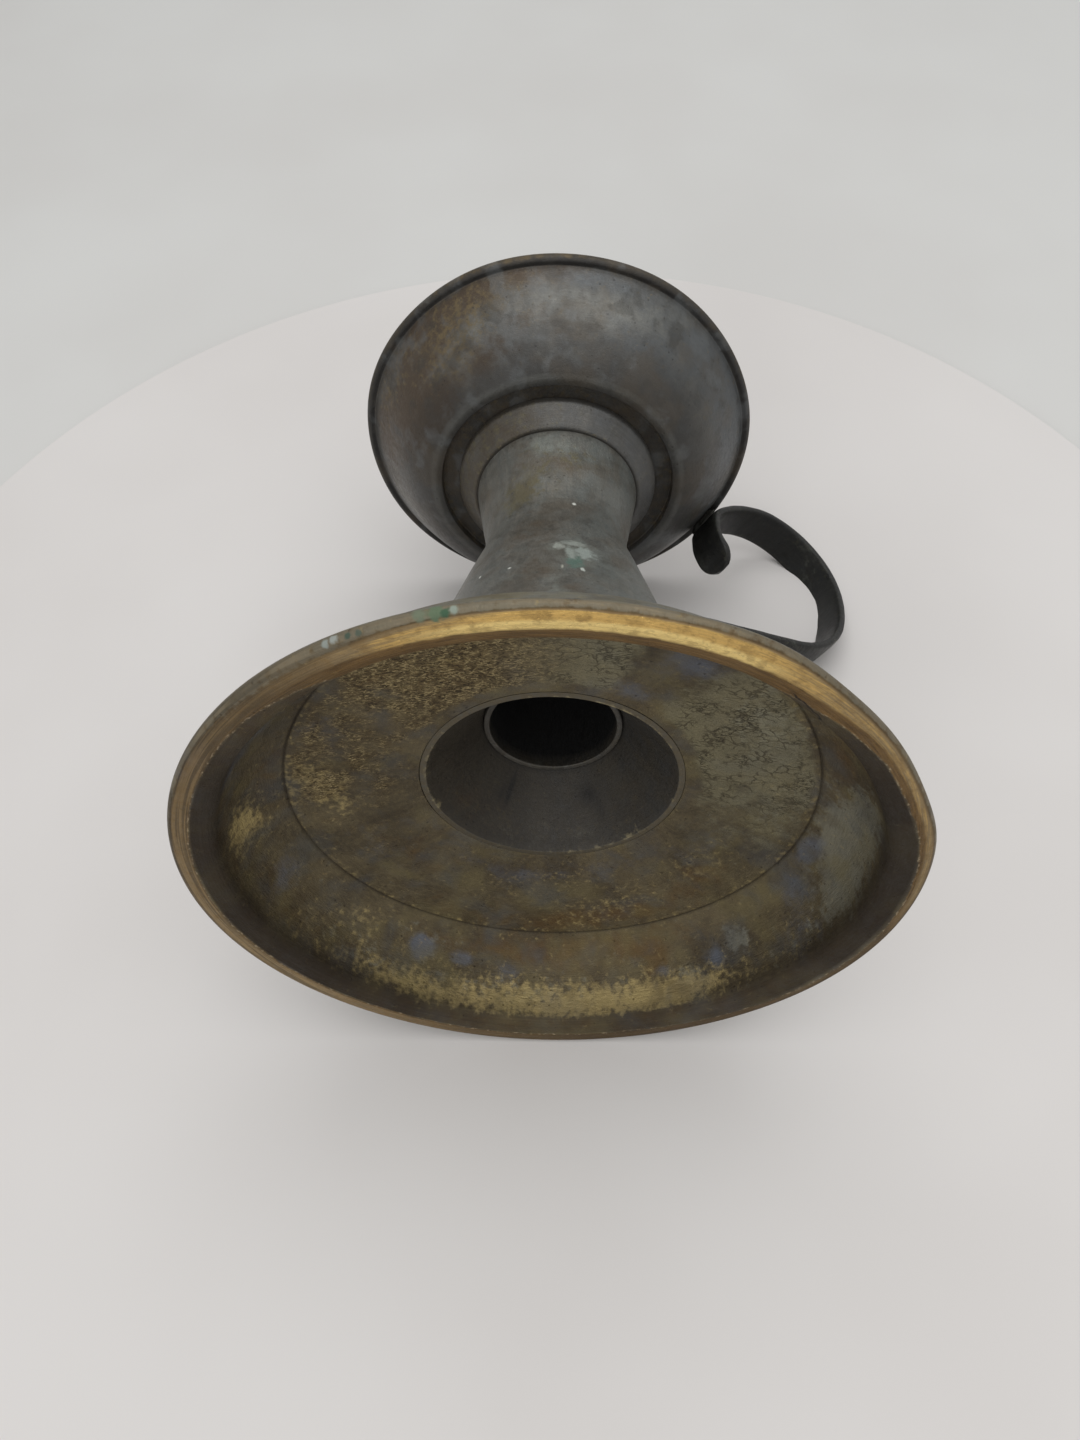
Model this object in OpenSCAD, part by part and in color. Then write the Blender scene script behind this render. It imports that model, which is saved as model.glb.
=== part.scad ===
// Old brass candlestick: a wide dished base, a waisted stem with the candle tube
// right through it, a drip bowl on top and one strap handle beside the bowl.
// The Z axis is the axis of all the turned pieces. The base rim rests on z = 0.
// The handle lies in the XZ plane, on the +X side. All sizes are in millimetres.

/* [Base] */
// Outer diameter over the rounded edge of the rim
base_d = 131.4; // [124:0.2:150]
// Thickness of the rim, and so the height of its rounded edge
rim_h = 2.2; // [1.6:0.1:3.2]
// Width of the flat turned face that the candlestick stands on
rim_face_w = 2.2; // [1.4:0.1:3]
// Width of the shallow cove inside that face
rim_cove_w = 4.6; // [3:0.1:6]
// How far the cove rises over its width
rim_cove_h = 1; // [0.6:0.1:1.2]
// Size of the small shoulder on the outside where the skirt rises from the rim
rim_shoulder_h = 0.7; // [0.4:0.1:1.2]
// Diameter of the turned line between the skirt and the shelf
shelf_d = 98.4; // [88:0.2:106]
// Height of the underside of the shelf at that line
shelf_z = 17.4; // [12:0.2:26]
// Rise of the underside from that line to the hole
shelf_rise = 4; // [1:0.1:6]
// How far the skirt bulges out from the straight line between the rim and the shelf
skirt_bulge = 2.6; // [0:0.1:4]
// How far the flat seat on the shelf runs past the foot of the stem
seat_spare = 1; // [0.5:0.1:2]
// Thickness of the base metal
base_wall = 1.2; // [0.9:0.1:2]

/* [Foot funnel] */
// Diameter of the mouth of the funnel, at the underside of the shelf
funnel_mouth_d = 47.2; // [38:0.2:54]
// Height of the cone of the funnel
funnel_h = 14; // [9:0.5:22]
// Thickness of the funnel metal
funnel_wall = 1.2; // [0.8:0.1:1.8]
// Length of the neck that grips the candle tube
funnel_neck_h = 6.5; // [3:0.5:12]
// Width of the flange that lies on the shelf
funnel_flange_w = 3; // [1.5:0.1:4.5]

/* [Candle tube] */
// Bore of the tube, which takes the candle
tube_bore_d = 24.7; // [20:0.1:24.9]
// Wall of the tube
tube_wall = 1.15; // [0.8:0.05:1.5]
// How far the lower end of the tube stands proud of the funnel
tube_proud = 0.9; // [0.2:0.1:2]
// How far the mouth of the tube stands above the rim of the bowl
tube_rise = 3; // [1:0.5:12]
// Depth of the candle socket, from the mouth down to the stop
socket_depth = 27; // [18:0.5:40]
// Thickness of the stop ring inside the tube
stop_h = 1.6; // [1:0.1:3]
// Diameter of the hole in the stop ring, for pushing out a stub
stop_hole_d = 14; // [8:0.5:18]
// Depth of the groove inside the tube that holds the stop ring
stop_groove = 0.4; // [0.25:0.05:0.45]
// Height of the turned ring round the mouth of the tube
mouth_ring_h = 2.4; // [1.5:0.1:4]
// Wall of that ring
mouth_ring_w = 1.4; // [0.8:0.1:2.5]

/* [Stem] */
// Outer diameter of the foot of the stem, where it stands on the shelf
stem_foot_d = 68; // [60:0.2:72]
// Height of the stem, from the shelf to the collar
stem_h = 82.9; // [70:0.1:110]
// Height of the waist above the shelf
waist_h = 62.3; // [48:0.1:66]
// Wall of the stem
stem_wall = 1.5; // [1:0.1:2.2]
// Radius that blends the two cones at the waist
waist_blend_r = 26; // [8:0.5:34]
// Outer diameter of the top end of the stem
stem_top_d = 37.4; // [34:0.2:38.4]

/* [Collar] */
// Diameter of the lower edge of the collar
collar_low_d = 38.6; // [38.4:0.2:41]
// Diameter of the collar where its cone ends
collar_top_d = 46.4; // [43:0.2:50]
// Height of the cone of the collar
collar_cone_h = 4.2; // [2.5:0.1:6]
// Height of the straight land above it, which shows inside the dark groove
collar_land_h = 1.9; // [1:0.1:3]

/* [Bowl] */
// Outer diameter over the rolled rim of the bowl
bowl_d = 94.4; // [86:0.2:104]
// Height from the lip under the bowl to the top of its rim
bowl_h = 20.9; // [17:0.1:28]
// Inner diameter of the lip under the bowl
bowl_lip_inner_d = 54.4; // [52:0.2:55.6]
// Outer diameter of that lip
bowl_lip_outer_d = 57.6; // [56.8:0.2:60]
// How far the floor lies above the lip
bowl_floor_up = 2; // [1.2:0.1:2.6]
// Thickness of the bowl metal
bowl_wall = 0.8; // [0.6:0.05:1.2]
// How far the belly of the bowl runs outward before it turns up
bowl_belly_w = 6.5; // [4:0.1:9]
// How far the belly rises over that width
bowl_belly_h = 1.8; // [1:0.1:3]
// Diameter of the wire inside the rolled rim
rim_wire_d = 0.8; // [0.6:0.1:1.4]
// Width of the ring that holds the bowl down on the collar
hold_ring_w = 4; // [2.5:0.1:6]
// Height of that ring
hold_ring_h = 1.8; // [1:0.1:3]

/* [Handle] */
// Width of the strap
strap_w = 10; // [7:0.5:14]
// Thickness of the strap
strap_t = 2.4; // [1.6:0.1:3]
// Reach of the handle from the axis to its outside
handle_reach = 88; // [78:0.5:100]
// How far the top of the handle stands above the rim of the bowl
handle_rise = 7.6; // [4:0.1:14]
// Height above the shelf where the lower arm meets the stem
arm_h = 52.8; // [44:0.1:56]
// Rise of the lower arm for each unit that it runs outward
arm_slope = 0.275; // [0.2:0.005:0.34]
// Width of the lower bend of the loop, from the end of the straight arm to the outside
loop_bend_w = 20.3; // [17:0.1:24]
// How far the widest point of the loop lies above the middle between the arm and the top
loop_side_up = 2.9; // [0:0.1:5]
// Roundness of the bends, as the share of a bend over which its ends run on
loop_share = 0.4; // [0.36:0.01:0.44]
// The same for the bend from the top of the loop down to the rim of the bowl
rim_share = 0.3; // [0.26:0.01:0.36]
// Lean of the strap where it passes the rolled rim, from the vertical
pass_lean = 38.5; // [30:0.5:44]
// How far past the rolled rim that bend ends
pass_run = 1.2; // [0:0.1:2]
// How far the free tongue hangs below the rim of the bowl
tongue_drop = 20.6; // [17:0.1:24]
// How far the tip of the tongue swings out again
tongue_swing = 4.4; // [2:0.1:6]
// Lean of the tip of the tongue, from the vertical
tongue_lean = 26.5; // [18:0.5:34]
// How far below the rolled rim the tongue starts to swing out
tongue_waist_drop = 9.8; // [8.5:0.1:11]
// How far inside the rolled rim it lies there
tongue_waist_in = 0.4; // [0:0.1:1]
// How far the brazing metal under the rolled rim runs inward from it
rim_braze_w = 3.5; // [2.5:0.1:5]
// How far that brazing metal runs down from it
rim_braze_h = 4.5; // [3.5:0.1:6]
// How far it stays inside each edge of the strap
rim_braze_inset = 0.5; // [0.2:0.1:1.5]
// How far the brazing metal on the stem runs out along the strap, above and below it
stem_braze_run = 2.4; // [1:0.1:4]
// How far that brazing metal stands out beside the strap
stem_braze_side = 0.8; // [0.4:0.1:2]

/* [Fits] */
// Clearance between turned pieces that slide over each other
fit_gap = 0.1; // [0.05:0.05:0.2]
// Clearance round the wire in the rolled rim
wire_gap = 0.05; // [0.02:0.01:0.08]
// Clearance between the strap and what it is brazed to
braze_gap = 0.2; // [0.1:0.05:0.4]

/* [Hidden] */
$fn = 96;
// Steps along one curved stretch of an outline
curve_steps = 12;
// Distance that cutting shapes run past what they cut
cut_over = 1;

// Base, worked out from its own sizes
base_r = base_d / 2;
rim_edge_r = rim_h / 2;
rim_flat_out_r = base_r - rim_edge_r;
rim_flat_in_r = rim_flat_out_r - rim_face_w;
skirt_r = rim_flat_in_r - rim_cove_w;
shoulder_z = rim_h + rim_shoulder_h;
shelf_r = shelf_d / 2;
skirt_low = [skirt_r, rim_cove_h];
skirt_high = [shelf_r, shelf_z];
skirt_turn = (skirt_low + skirt_high) / 2 - 2 * skirt_bulge * left_of(unit(skirt_high - skirt_low));
funnel_mouth_r = funnel_mouth_d / 2;
spigot_r = funnel_mouth_r + funnel_wall;
base_hole_r = spigot_r + fit_gap;
hole_z = shelf_z + shelf_rise;
seat_z = hole_z + base_wall;
stem_foot_r = stem_foot_d / 2;
seat_r = stem_foot_r + seat_spare;

// Tube
tube_r = tube_bore_d / 2 + tube_wall;
grip_r = tube_r + fit_gap;
neck_z = hole_z + funnel_h;
tube_low_z = neck_z - tube_proud;
stop_groove_r = tube_bore_d / 2 + stop_groove;

// Stem
waist_z = seat_z + waist_h;
waist_r = grip_r + stem_wall;
stem_top_z = seat_z + stem_h;
stem_top_r = stem_top_d / 2;
lower_slope = (stem_foot_r - waist_r) / waist_h;
upper_slope = (stem_top_r - waist_r) / (stem_h - waist_h);
waist_turn = atan(lower_slope) + atan(upper_slope);
blend_z = waist_blend_r * tan(waist_turn / 2);

// Collar and bowl
collar_top_z = stem_top_z + collar_cone_h + collar_land_h;
floor_z = collar_top_z;
lip_z = floor_z - bowl_floor_up;
bowl_top_z = lip_z + bowl_h;
roll_hole_r = rim_wire_d / 2 + wire_gap;
roll_r = roll_hole_r + bowl_wall;
roll_x = bowl_d / 2 - roll_r;
roll_z = bowl_top_z - roll_r;
lip_out_r = bowl_lip_outer_d / 2;
belly_start = [lip_out_r, lip_z];
belly_turn = [lip_out_r + bowl_belly_w, lip_z + bowl_belly_h];
belly_end = [roll_x - bowl_wall / 4, roll_z];
mouth_z = bowl_top_z + tube_rise;
stop_z = mouth_z - socket_depth;

// Points along curves. A curve of the first kind has one control point, the second two.
function curve_one(a, c, b, t) = (1 - t) * (1 - t) * a + 2 * t * (1 - t) * c + t * t * b;
function curve_two(a, c, d, b, t) =
    pow(1 - t, 3) * a + 3 * t * pow(1 - t, 2) * c + 3 * t * t * (1 - t) * d + pow(t, 3) * b;
function unit(v) = v / norm(v);
function left_of(v) = [-v[1], v[0]];
// Points of a curve with one control point, each moved to its left by the given amount
function curve_line(a, c, b, away) = [
    for (i = [0:curve_steps])
        let (
            t = i / curve_steps,
            along = unit((1 - t) * (c - a) + t * (b - c))
        ) curve_one(a, c, b, t) + away * left_of(along)
];

// Outside of the stem: a long lower cone, a rounded waist and a short upper cone
function stem_line(grow) = concat(
    [[stem_foot_r + grow, seat_z]],
    [
        for (i = [0:curve_steps])
            let (
                start = [waist_r + lower_slope * blend_z, waist_z - blend_z],
                end = [waist_r + upper_slope * blend_z, waist_z + blend_z]
            ) curve_one(start, [waist_r, waist_z], end, i / curve_steps) + [grow, 0]
    ],
    [[stem_top_r + grow, stem_top_z]]
);

// Underside of the skirt, from the rim to the shelf, moved inward by the given thickness
function skirt_line(inset) = curve_line(skirt_low, skirt_turn, skirt_high, inset);

// Belly of the bowl, moved inward by the given thickness
function belly_line(inset) = curve_line(belly_start, belly_turn, belly_end, inset);

// Middle line of the strap, from the stem round the loop to the tip of the tongue
roll_clear = roll_r + braze_gap + strap_t / 2;
arm_root = [waist_r + lower_slope * (waist_h - arm_h) - stem_wall, seat_z + arm_h];
arm_dir = unit([1, arm_slope]);
reach_x = handle_reach - strap_t / 2;
loop_top_z = bowl_top_z + handle_rise - strap_t / 2;
arm_end_x = reach_x - loop_bend_w;
arm_end = [arm_end_x, arm_root[1] + arm_slope * (arm_end_x - arm_root[0])];
loop_side = [reach_x, (arm_end[1] + loop_top_z) / 2 + loop_side_up];
loop_top = [(roll_x + reach_x) / 2, loop_top_z];
pass_dir = [-sin(pass_lean), -cos(pass_lean)];
strap_pass = [roll_x, roll_z] + roll_clear * left_of(pass_dir) + pass_run * pass_dir;
tongue_waist = [roll_x - tongue_waist_in, roll_z - tongue_waist_drop];
tongue_dir = [sin(tongue_lean), -cos(tongue_lean)];
tongue_tip = [tongue_waist[0] + tongue_swing, bowl_top_z - tongue_drop];
// Each stretch has its start and its direction there, its end and its direction there,
// and the share of the stretch over which both ends run on
strap_stretches = [
    [arm_root, arm_dir, arm_end, arm_dir, loop_share],
    [arm_end, arm_dir, loop_side, [0, 1], loop_share],
    [loop_side, [0, 1], loop_top, [-1, 0], loop_share],
    [loop_top, [-1, 0], strap_pass, pass_dir, rim_share],
    [strap_pass, pass_dir, tongue_waist, [0, -1], loop_share],
    [tongue_waist, [0, -1], tongue_tip, tongue_dir, loop_share]
];
strap_steps = 10;
strap_line = concat(
    [arm_root],
    [
        for (s = strap_stretches)
            let (pull = s[4] * norm(s[2] - s[0]))
                for (i = [1:strap_steps])
                    curve_two(
                        s[0], s[0] + pull * s[1], s[2] - pull * s[3], s[2],
                        i / strap_steps
                    )
    ]
);
function strap_side(away) = [
    for (i = [0:len(strap_line) - 1])
        let (
            before = strap_line[max(i - 1, 0)],
            after = strap_line[min(i + 1, len(strap_line) - 1)]
        ) strap_line[i] + away * left_of(unit(after - before))
];
function turned_back(list) = [for (i = [len(list) - 1:-1:0]) list[i]];

// A ring of the given section between two radii and two heights
module ring(inner_r, outer_r, low, high) {
    difference() {
        translate([0, 0, low]) cylinder(h = high - low, r = outer_r);
        translate([0, 0, low - cut_over]) cylinder(h = high - low + 2 * cut_over, r = inner_r);
    }
}

// Cast and turned base: rounded rim, skirt and shelf, with a flat seat round the hole
module base_dish() {
    color([0.47, 0.40, 0.25])
        difference() {
            union() {
                rotate_extrude()
                    polygon(concat(
                        [
                            [base_hole_r - cut_over, hole_z],
                            [base_hole_r - cut_over, seat_z],
                            [seat_r, seat_z]
                        ],
                        [for (p = turned_back(skirt_line(-base_wall))) if (p[1] > shoulder_z) p],
                        [
                            [skirt_r + base_wall, shoulder_z],
                            [skirt_r + base_wall + rim_shoulder_h, rim_h],
                            [rim_flat_out_r, rim_h],
                            [rim_flat_out_r, 0],
                            [rim_flat_in_r, 0]
                        ],
                        skirt_line(0)
                    ));
                // Rounded edge
                translate([0, 0, rim_edge_r])
                    rotate_extrude()
                        translate([rim_flat_out_r, 0]) circle(r = rim_edge_r, $fn = 32);
            }
            translate([0, 0, hole_z - cut_over])
                cylinder(h = base_wall + 2 * cut_over, r = base_hole_r);
        }
}

// Spun funnel that closes the hole of the base round the end of the tube
module foot_funnel() {
    color([0.25, 0.24, 0.21])
        rotate_extrude()
            polygon([
                [funnel_mouth_r, hole_z],
                [spigot_r, hole_z],
                [spigot_r, seat_z],
                [spigot_r + funnel_flange_w, seat_z],
                [spigot_r + funnel_flange_w, seat_z + funnel_wall],
                [spigot_r, seat_z + funnel_wall],
                [grip_r + funnel_wall, neck_z + funnel_wall / 2],
                [grip_r + funnel_wall, neck_z + funnel_neck_h],
                [grip_r, neck_z + funnel_neck_h],
                [grip_r, neck_z]
            ]);
}

// Waisted shell of the stem. Its inside is two plain cones that meet round the tube.
module stem_shell() {
    color([0.36, 0.37, 0.34])
        rotate_extrude()
            polygon(concat(
                stem_line(0),
                [
                    [stem_top_r - stem_wall, stem_top_z],
                    [grip_r, waist_z],
                    [stem_foot_r - stem_wall, seat_z]
                ]
            ));
}

// Candle tube, from the funnel in the base up through the bowl
module candle_tube() {
    color([0.30, 0.28, 0.24])
        difference() {
            ring(tube_bore_d / 2, tube_r, tube_low_z, mouth_z);
            // Groove for the stop ring
            ring(
                tube_bore_d / 2 - cut_over, stop_groove_r,
                stop_z - stop_h - fit_gap, stop_z + fit_gap
            );
        }
}

// Split ring sprung into the groove of the tube and brazed there, on which the candle stands
module candle_stop() {
    color([0.42, 0.36, 0.24])
        ring(stop_hole_d / 2, stop_groove_r - fit_gap, stop_z - stop_h, stop_z);
}

// Turned ring sweated round the mouth of the tube
module mouth_ring() {
    color([0.45, 0.40, 0.28])
        ring(grip_r, grip_r + mouth_ring_w, mouth_z - mouth_ring_h, mouth_z);
}

// Collar between the top of the stem and the floor of the bowl
module collar() {
    color([0.33, 0.34, 0.32])
        difference() {
            rotate_extrude()
                polygon([
                    [0, stem_top_z],
                    [collar_low_d / 2, stem_top_z],
                    [collar_top_d / 2, stem_top_z + collar_cone_h],
                    [collar_top_d / 2, collar_top_z],
                    [0, collar_top_z]
                ]);
            translate([0, 0, stem_top_z - cut_over])
                cylinder(h = collar_top_z - stem_top_z + 2 * cut_over, r = grip_r);
        }
}

// Outline of the bowl as far as the rolled rim, from the axis and without the inside
module bowl_outside() {
    rotate_extrude()
        polygon(concat(
            [
                [0, floor_z],
                [bowl_lip_inner_d / 2, floor_z],
                [bowl_lip_inner_d / 2, lip_z]
            ],
            belly_line(0),
            [[0, roll_z]]
        ));
    bowl_roll(roll_r);
}

module bowl_roll(section_r) {
    translate([0, 0, roll_z])
        rotate_extrude()
            translate([roll_x, 0]) circle(r = section_r, $fn = 32);
}

// Spun drip bowl with a recessed floor and a rim rolled over a wire
module bowl() {
    color([0.37, 0.36, 0.31])
        difference() {
            bowl_outside();
            // Inside of the bowl above its floor
            intersection() {
                rotate_extrude()
                    polygon(concat(
                        [[0, lip_z]],
                        belly_line(bowl_wall),
                        [
                            [belly_end[0] - bowl_wall, bowl_top_z + cut_over],
                            [0, bowl_top_z + cut_over]
                        ]
                    ));
                translate([0, 0, floor_z + bowl_wall]) cylinder(h = bowl_h, r = bowl_d / 2);
            }
            // Hole for the tube
            translate([0, 0, floor_z - cut_over])
                cylinder(h = bowl_wall + 2 * cut_over, r = grip_r);
            bowl_roll(roll_hole_r);
        }
}

// Wire inside the rolled rim
module bowl_rim_wire() {
    color([0.30, 0.26, 0.22])
        bowl_roll(rim_wire_d / 2);
}

// Ring brazed to the tube above the floor of the bowl
module bowl_hold_ring() {
    color([0.42, 0.38, 0.28])
        ring(
            grip_r, grip_r + hold_ring_w,
            floor_z + bowl_wall, floor_z + bowl_wall + hold_ring_h
        );
}

// Plain strap in the XZ plane, before its ends are shaped
module strap_blank() {
    rotate([90, 0, 0])
        linear_extrude(height = strap_w, center = true)
            polygon(concat(strap_side(strap_t / 2), turned_back(strap_side(-strap_t / 2))));
}

// Outside of the stem as a filled shape that is larger by the given amount
module stem_filled(grow) {
    rotate_extrude()
        polygon(concat([[0, seat_z]], stem_line(grow), [[0, stem_top_z]]));
}

// Bent strap handle with a round-ended free tongue
module handle_strap() {
    round_r = strap_w / 2;
    centre = tongue_tip - round_r * tongue_dir;
    color([0.22, 0.22, 0.20])
        difference() {
            strap_blank();
            stem_filled(braze_gap / 2);
            // Corners of the tongue
            translate([centre[0], 0, centre[1]])
                rotate([0, 90 - tongue_lean, 0])
                    difference() {
                        translate([0, -strap_w, -2 * strap_t])
                            cube([strap_w, 2 * strap_w, 4 * strap_t]);
                        translate([0, 0, -3 * strap_t])
                            cylinder(h = 6 * strap_t, r = round_r);
                    }
        }
}

// Brazing metal in the wedge between the rolled rim, the bowl and the strap
module handle_braze_bowl() {
    color([0.20, 0.19, 0.17])
        difference() {
            rotate([90, 0, 0])
                linear_extrude(height = strap_w - 2 * rim_braze_inset, center = true)
                    polygon([
                        [belly_end[0] - rim_braze_w, roll_z - rim_braze_h],
                        [tongue_waist[0], roll_z - rim_braze_h],
                        strap_pass,
                        [roll_x, roll_z]
                    ]);
            bowl_outside();
            strap_blank();
        }
}

// Brazing metal round the end of the lower arm, on the stem
module handle_braze_stem() {
    start_x = arm_root[0] - stem_wall;
    end_x = arm_root[0] + stem_wall + stem_braze_run;
    low_z = arm_root[1] - strap_t;
    high_z = arm_root[1] + strap_t;
    color([0.24, 0.24, 0.22])
        difference() {
            rotate([90, 0, 0])
                linear_extrude(height = strap_w + 2 * stem_braze_side, center = true)
                    polygon([
                        [start_x, low_z - stem_braze_run],
                        [end_x - stem_braze_run, low_z - stem_braze_run],
                        [end_x, low_z],
                        [end_x, high_z],
                        [end_x - stem_braze_run, high_z + stem_braze_run],
                        [start_x, high_z + stem_braze_run]
                    ]);
            stem_filled(0);
            strap_blank();
        }
}

base_dish();
foot_funnel();
stem_shell();
candle_tube();
candle_stop();
mouth_ring();
collar();
bowl();
bowl_rim_wire();
bowl_hold_ring();
handle_strap();
handle_braze_bowl();
handle_braze_stem();
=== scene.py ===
"""An old dark brass candlestick with a wide dished base, a waisted stem, a drip bowl and one
strap handle. It lies on its side on a pale turntable and shows the underside of its base.
Sizes are written in millimetres times mm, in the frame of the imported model: the Z axis is
the axis of the turned pieces, the base rim rests on z = 0 and the handle is on +X."""

import bmesh
import bpy
import numpy as np
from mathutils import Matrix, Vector


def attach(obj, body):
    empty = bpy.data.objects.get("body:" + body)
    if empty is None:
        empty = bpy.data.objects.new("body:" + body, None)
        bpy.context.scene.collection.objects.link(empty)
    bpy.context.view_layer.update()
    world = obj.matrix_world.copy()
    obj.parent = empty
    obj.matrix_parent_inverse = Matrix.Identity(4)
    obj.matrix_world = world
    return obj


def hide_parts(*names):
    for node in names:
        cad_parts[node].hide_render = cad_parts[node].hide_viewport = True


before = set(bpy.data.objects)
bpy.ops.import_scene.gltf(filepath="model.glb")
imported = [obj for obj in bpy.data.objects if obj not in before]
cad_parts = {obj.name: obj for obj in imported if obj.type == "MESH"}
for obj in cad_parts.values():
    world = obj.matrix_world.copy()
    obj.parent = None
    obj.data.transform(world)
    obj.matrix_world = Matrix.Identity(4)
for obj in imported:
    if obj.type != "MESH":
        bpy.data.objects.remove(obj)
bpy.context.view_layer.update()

mm = 0.001
scene = bpy.context.scene
scene.view_settings.view_transform = "Standard"


# ---------------------------------------------------------------------------
# Camera. It looks down on the turntable from the side of the base, so it sees
# the underside of the base, the outside of the bowl and, above the rim, the handle.

camera = bpy.data.objects.new("camera", bpy.data.cameras.new("camera"))
camera.location = (-88.11 * mm, -143.70 * mm, -107.83 * mm)
camera.rotation_euler = np.radians((130.555, -1.167, -31.637))
camera.data.lens = 28.36
camera.data.clip_start = 5 * mm
scene.collection.objects.link(camera)
scene.camera = camera


# ---------------------------------------------------------------------------
# Base. One brass casting, turned inside: a rounded rim with a narrow flat to
# stand on, a shallow cove, a steep skirt, a scribed line and a flat shelf with
# a hole. The flat is worn bright, the rest is crazed lacquer over dark tarnish.

def bend(start, turn, end, count=20):
    """Points (1 - t)^2 start + 2 t (1 - t) turn + t^2 end, for t from 0 to 1."""
    t = np.linspace(0, 1, count)[:, None]
    return (1 - t) ** 2 * np.array(start) + 2 * t * (1 - t) * np.array(turn) + t**2 * np.array(end)


def eased(corners, ease=0.3, longest=1.6):
    """A closed outline with its sharp corners rounded. A corner that turns by more than
    14 degrees is cut back by ease along both its sides, at most by 45 % of each, and gets
    the curve of bend() between the cuts. A straight run longer than longest is divided
    evenly. Corners and result are (r, z) in millimetres."""
    corners = np.asarray(corners, float)
    back, on = np.roll(corners, 1, 0) - corners, np.roll(corners, -1, 0) - corners
    back_len, on_len = np.linalg.norm(back, axis=1), np.linalg.norm(on, axis=1)
    sharp = (back * on).sum(1) > -np.cos(np.radians(14)) * back_len * on_len
    near = corners + back * np.minimum(ease / back_len, 0.45)[:, None]
    far = corners + on * np.minimum(ease / on_len, 0.45)[:, None]
    line = np.concatenate([
        bend(near[i], corners[i], far[i], 5) if sharp[i] else corners[i:i + 1]
        for i in range(len(corners))
    ])
    ahead = np.roll(line, -1, 0)
    parts = np.ceil(np.linalg.norm(ahead - line, axis=1) / longest).astype(int)
    return np.concatenate([
        np.linspace(line[i], ahead[i], max(parts[i], 1), endpoint=False)
        for i in range(len(line))
    ])


def built(name, places, faces):
    """A smooth-shaded piece from an array of places in metres and an array of faces."""
    mesh = bpy.data.meshes.new(name)
    mesh.from_pydata(places.reshape(-1, 3), [], faces)
    mesh.shade_smooth()
    piece = bpy.data.objects.new(name, mesh)
    scene.collection.objects.link(piece)
    return piece


def grid_faces(rows, columns, row_wrap, column_wrap):
    """Quads of a grid of rows by columns points, closed in either direction on demand."""
    i, j = np.indices((rows - (not row_wrap), columns - (not column_wrap)))
    here, right = i * columns + j, i * columns + (j + 1) % columns
    below = (i + 1) % rows * columns
    return np.stack([here, right, below + (j + 1) % columns, below + j], -1).reshape(-1, 4)


def turned(name, outline, around, sway=None):
    """A turned piece. The point (r, z) of its closed outline goes round the axis by the angle
    a, to ((r + dr) cos a, (r + dr) sin a, z + dz), and sway(a, r, z) gives dr and dz. The
    piece comes with the arrays a, r and z of its points, in radians and millimetres."""
    ahead = np.roll(outline, -1, 0)
    if (outline[:, 0] * ahead[:, 1] - ahead[:, 0] * outline[:, 1]).sum() < 0:
        outline = outline[::-1]
    a = np.linspace(-np.pi, np.pi, around, endpoint=False)[None, :] + 0 * outline[:, :1]
    r, z = outline[:, :1] + 0 * a, outline[:, 1:] + 0 * a
    dr, dz = sway(a, r, z) if sway else (0, 0)
    places = np.stack([(r + dr) * np.cos(a), (r + dr) * np.sin(a), z + dz], -1) * mm
    piece = built(name, places, grid_faces(len(outline), around, True, True))
    return piece, a.ravel(), r.ravel(), z.ravel()


def between(value, low, high):
    """0 below low, 1 above high and 3 t^2 - 2 t^3 in between. With high below low it falls."""
    t = np.clip((value - low) / (high - low), 0, 1)
    return t * t * (3 - 2 * t)


def round_gap(a, degrees):
    """Angle from the azimuth degrees to a, from -180 to 180 degrees."""
    return (np.degrees(a) - degrees + 180) % 360 - 180


def spots(a, r, z, rows):
    """Sum of soft spots exp(-(arc / length)^2 - (across / width)^2). A row holds azimuth in
    degrees, r, z, length along the arc, width across it and strength, in millimetres."""
    total = 0 * a
    for azimuth, spot_r, spot_z, length, width, strength in rows:
        arc = np.radians(round_gap(a, azimuth)) * spot_r
        across = np.hypot(r - spot_r, z - spot_z)
        total = total + strength * np.exp(-(arc / length) ** 2 - (across / width) ** 2)
    return total


def marked(piece, name, *values):
    """Stores four values per point, 0 to 1, as the colour and alpha of one attribute."""
    layer = piece.data.color_attributes.new(name, "FLOAT_COLOR", "POINT")
    four = np.stack(np.broadcast_arrays(*values), -1)
    layer.data.foreach_set("color", np.clip(four, 0, 1).astype(np.float32).ravel())


def tone(red, green, blue):
    """A screen colour, 0 to 255 each, as the linear colour ((c + 0.055) / 1.055)^2.4."""
    linear = ((np.array((red, green, blue)) / 255 + 0.055) / 1.055) ** 2.4
    return (*(float(c) for c in linear), 1.0)


def add(tree, kind, sockets=None, **settings):
    """Adds a node. Settings go by name, and a socket gets either a link or a value."""
    node = tree.nodes.new("ShaderNode" + kind)
    for key, value in settings.items():
        setattr(node, key, value)
    for key, value in (sockets or {}).items():
        if isinstance(value, bpy.types.NodeSocket):
            tree.links.new(value, node.inputs[key])
        else:
            node.inputs[key].default_value = value
    return node


def maths(tree, operation, first, second=0.0, third=0.0, clamp=False):
    """One arithmetic step, as a socket."""
    sockets = {0: first, 1: second, 2: third}
    return add(tree, "Math", sockets, operation=operation, use_clamp=clamp).outputs[0]


def over(tree, amount, under, upper, how="MIX"):
    """The colour upper laid over the colour under by the amount, as a socket."""
    sockets = {0: amount, 6: under, 7: upper}
    return add(tree, "Mix", sockets, data_type="RGBA", blend_type=how).outputs[2]


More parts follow.
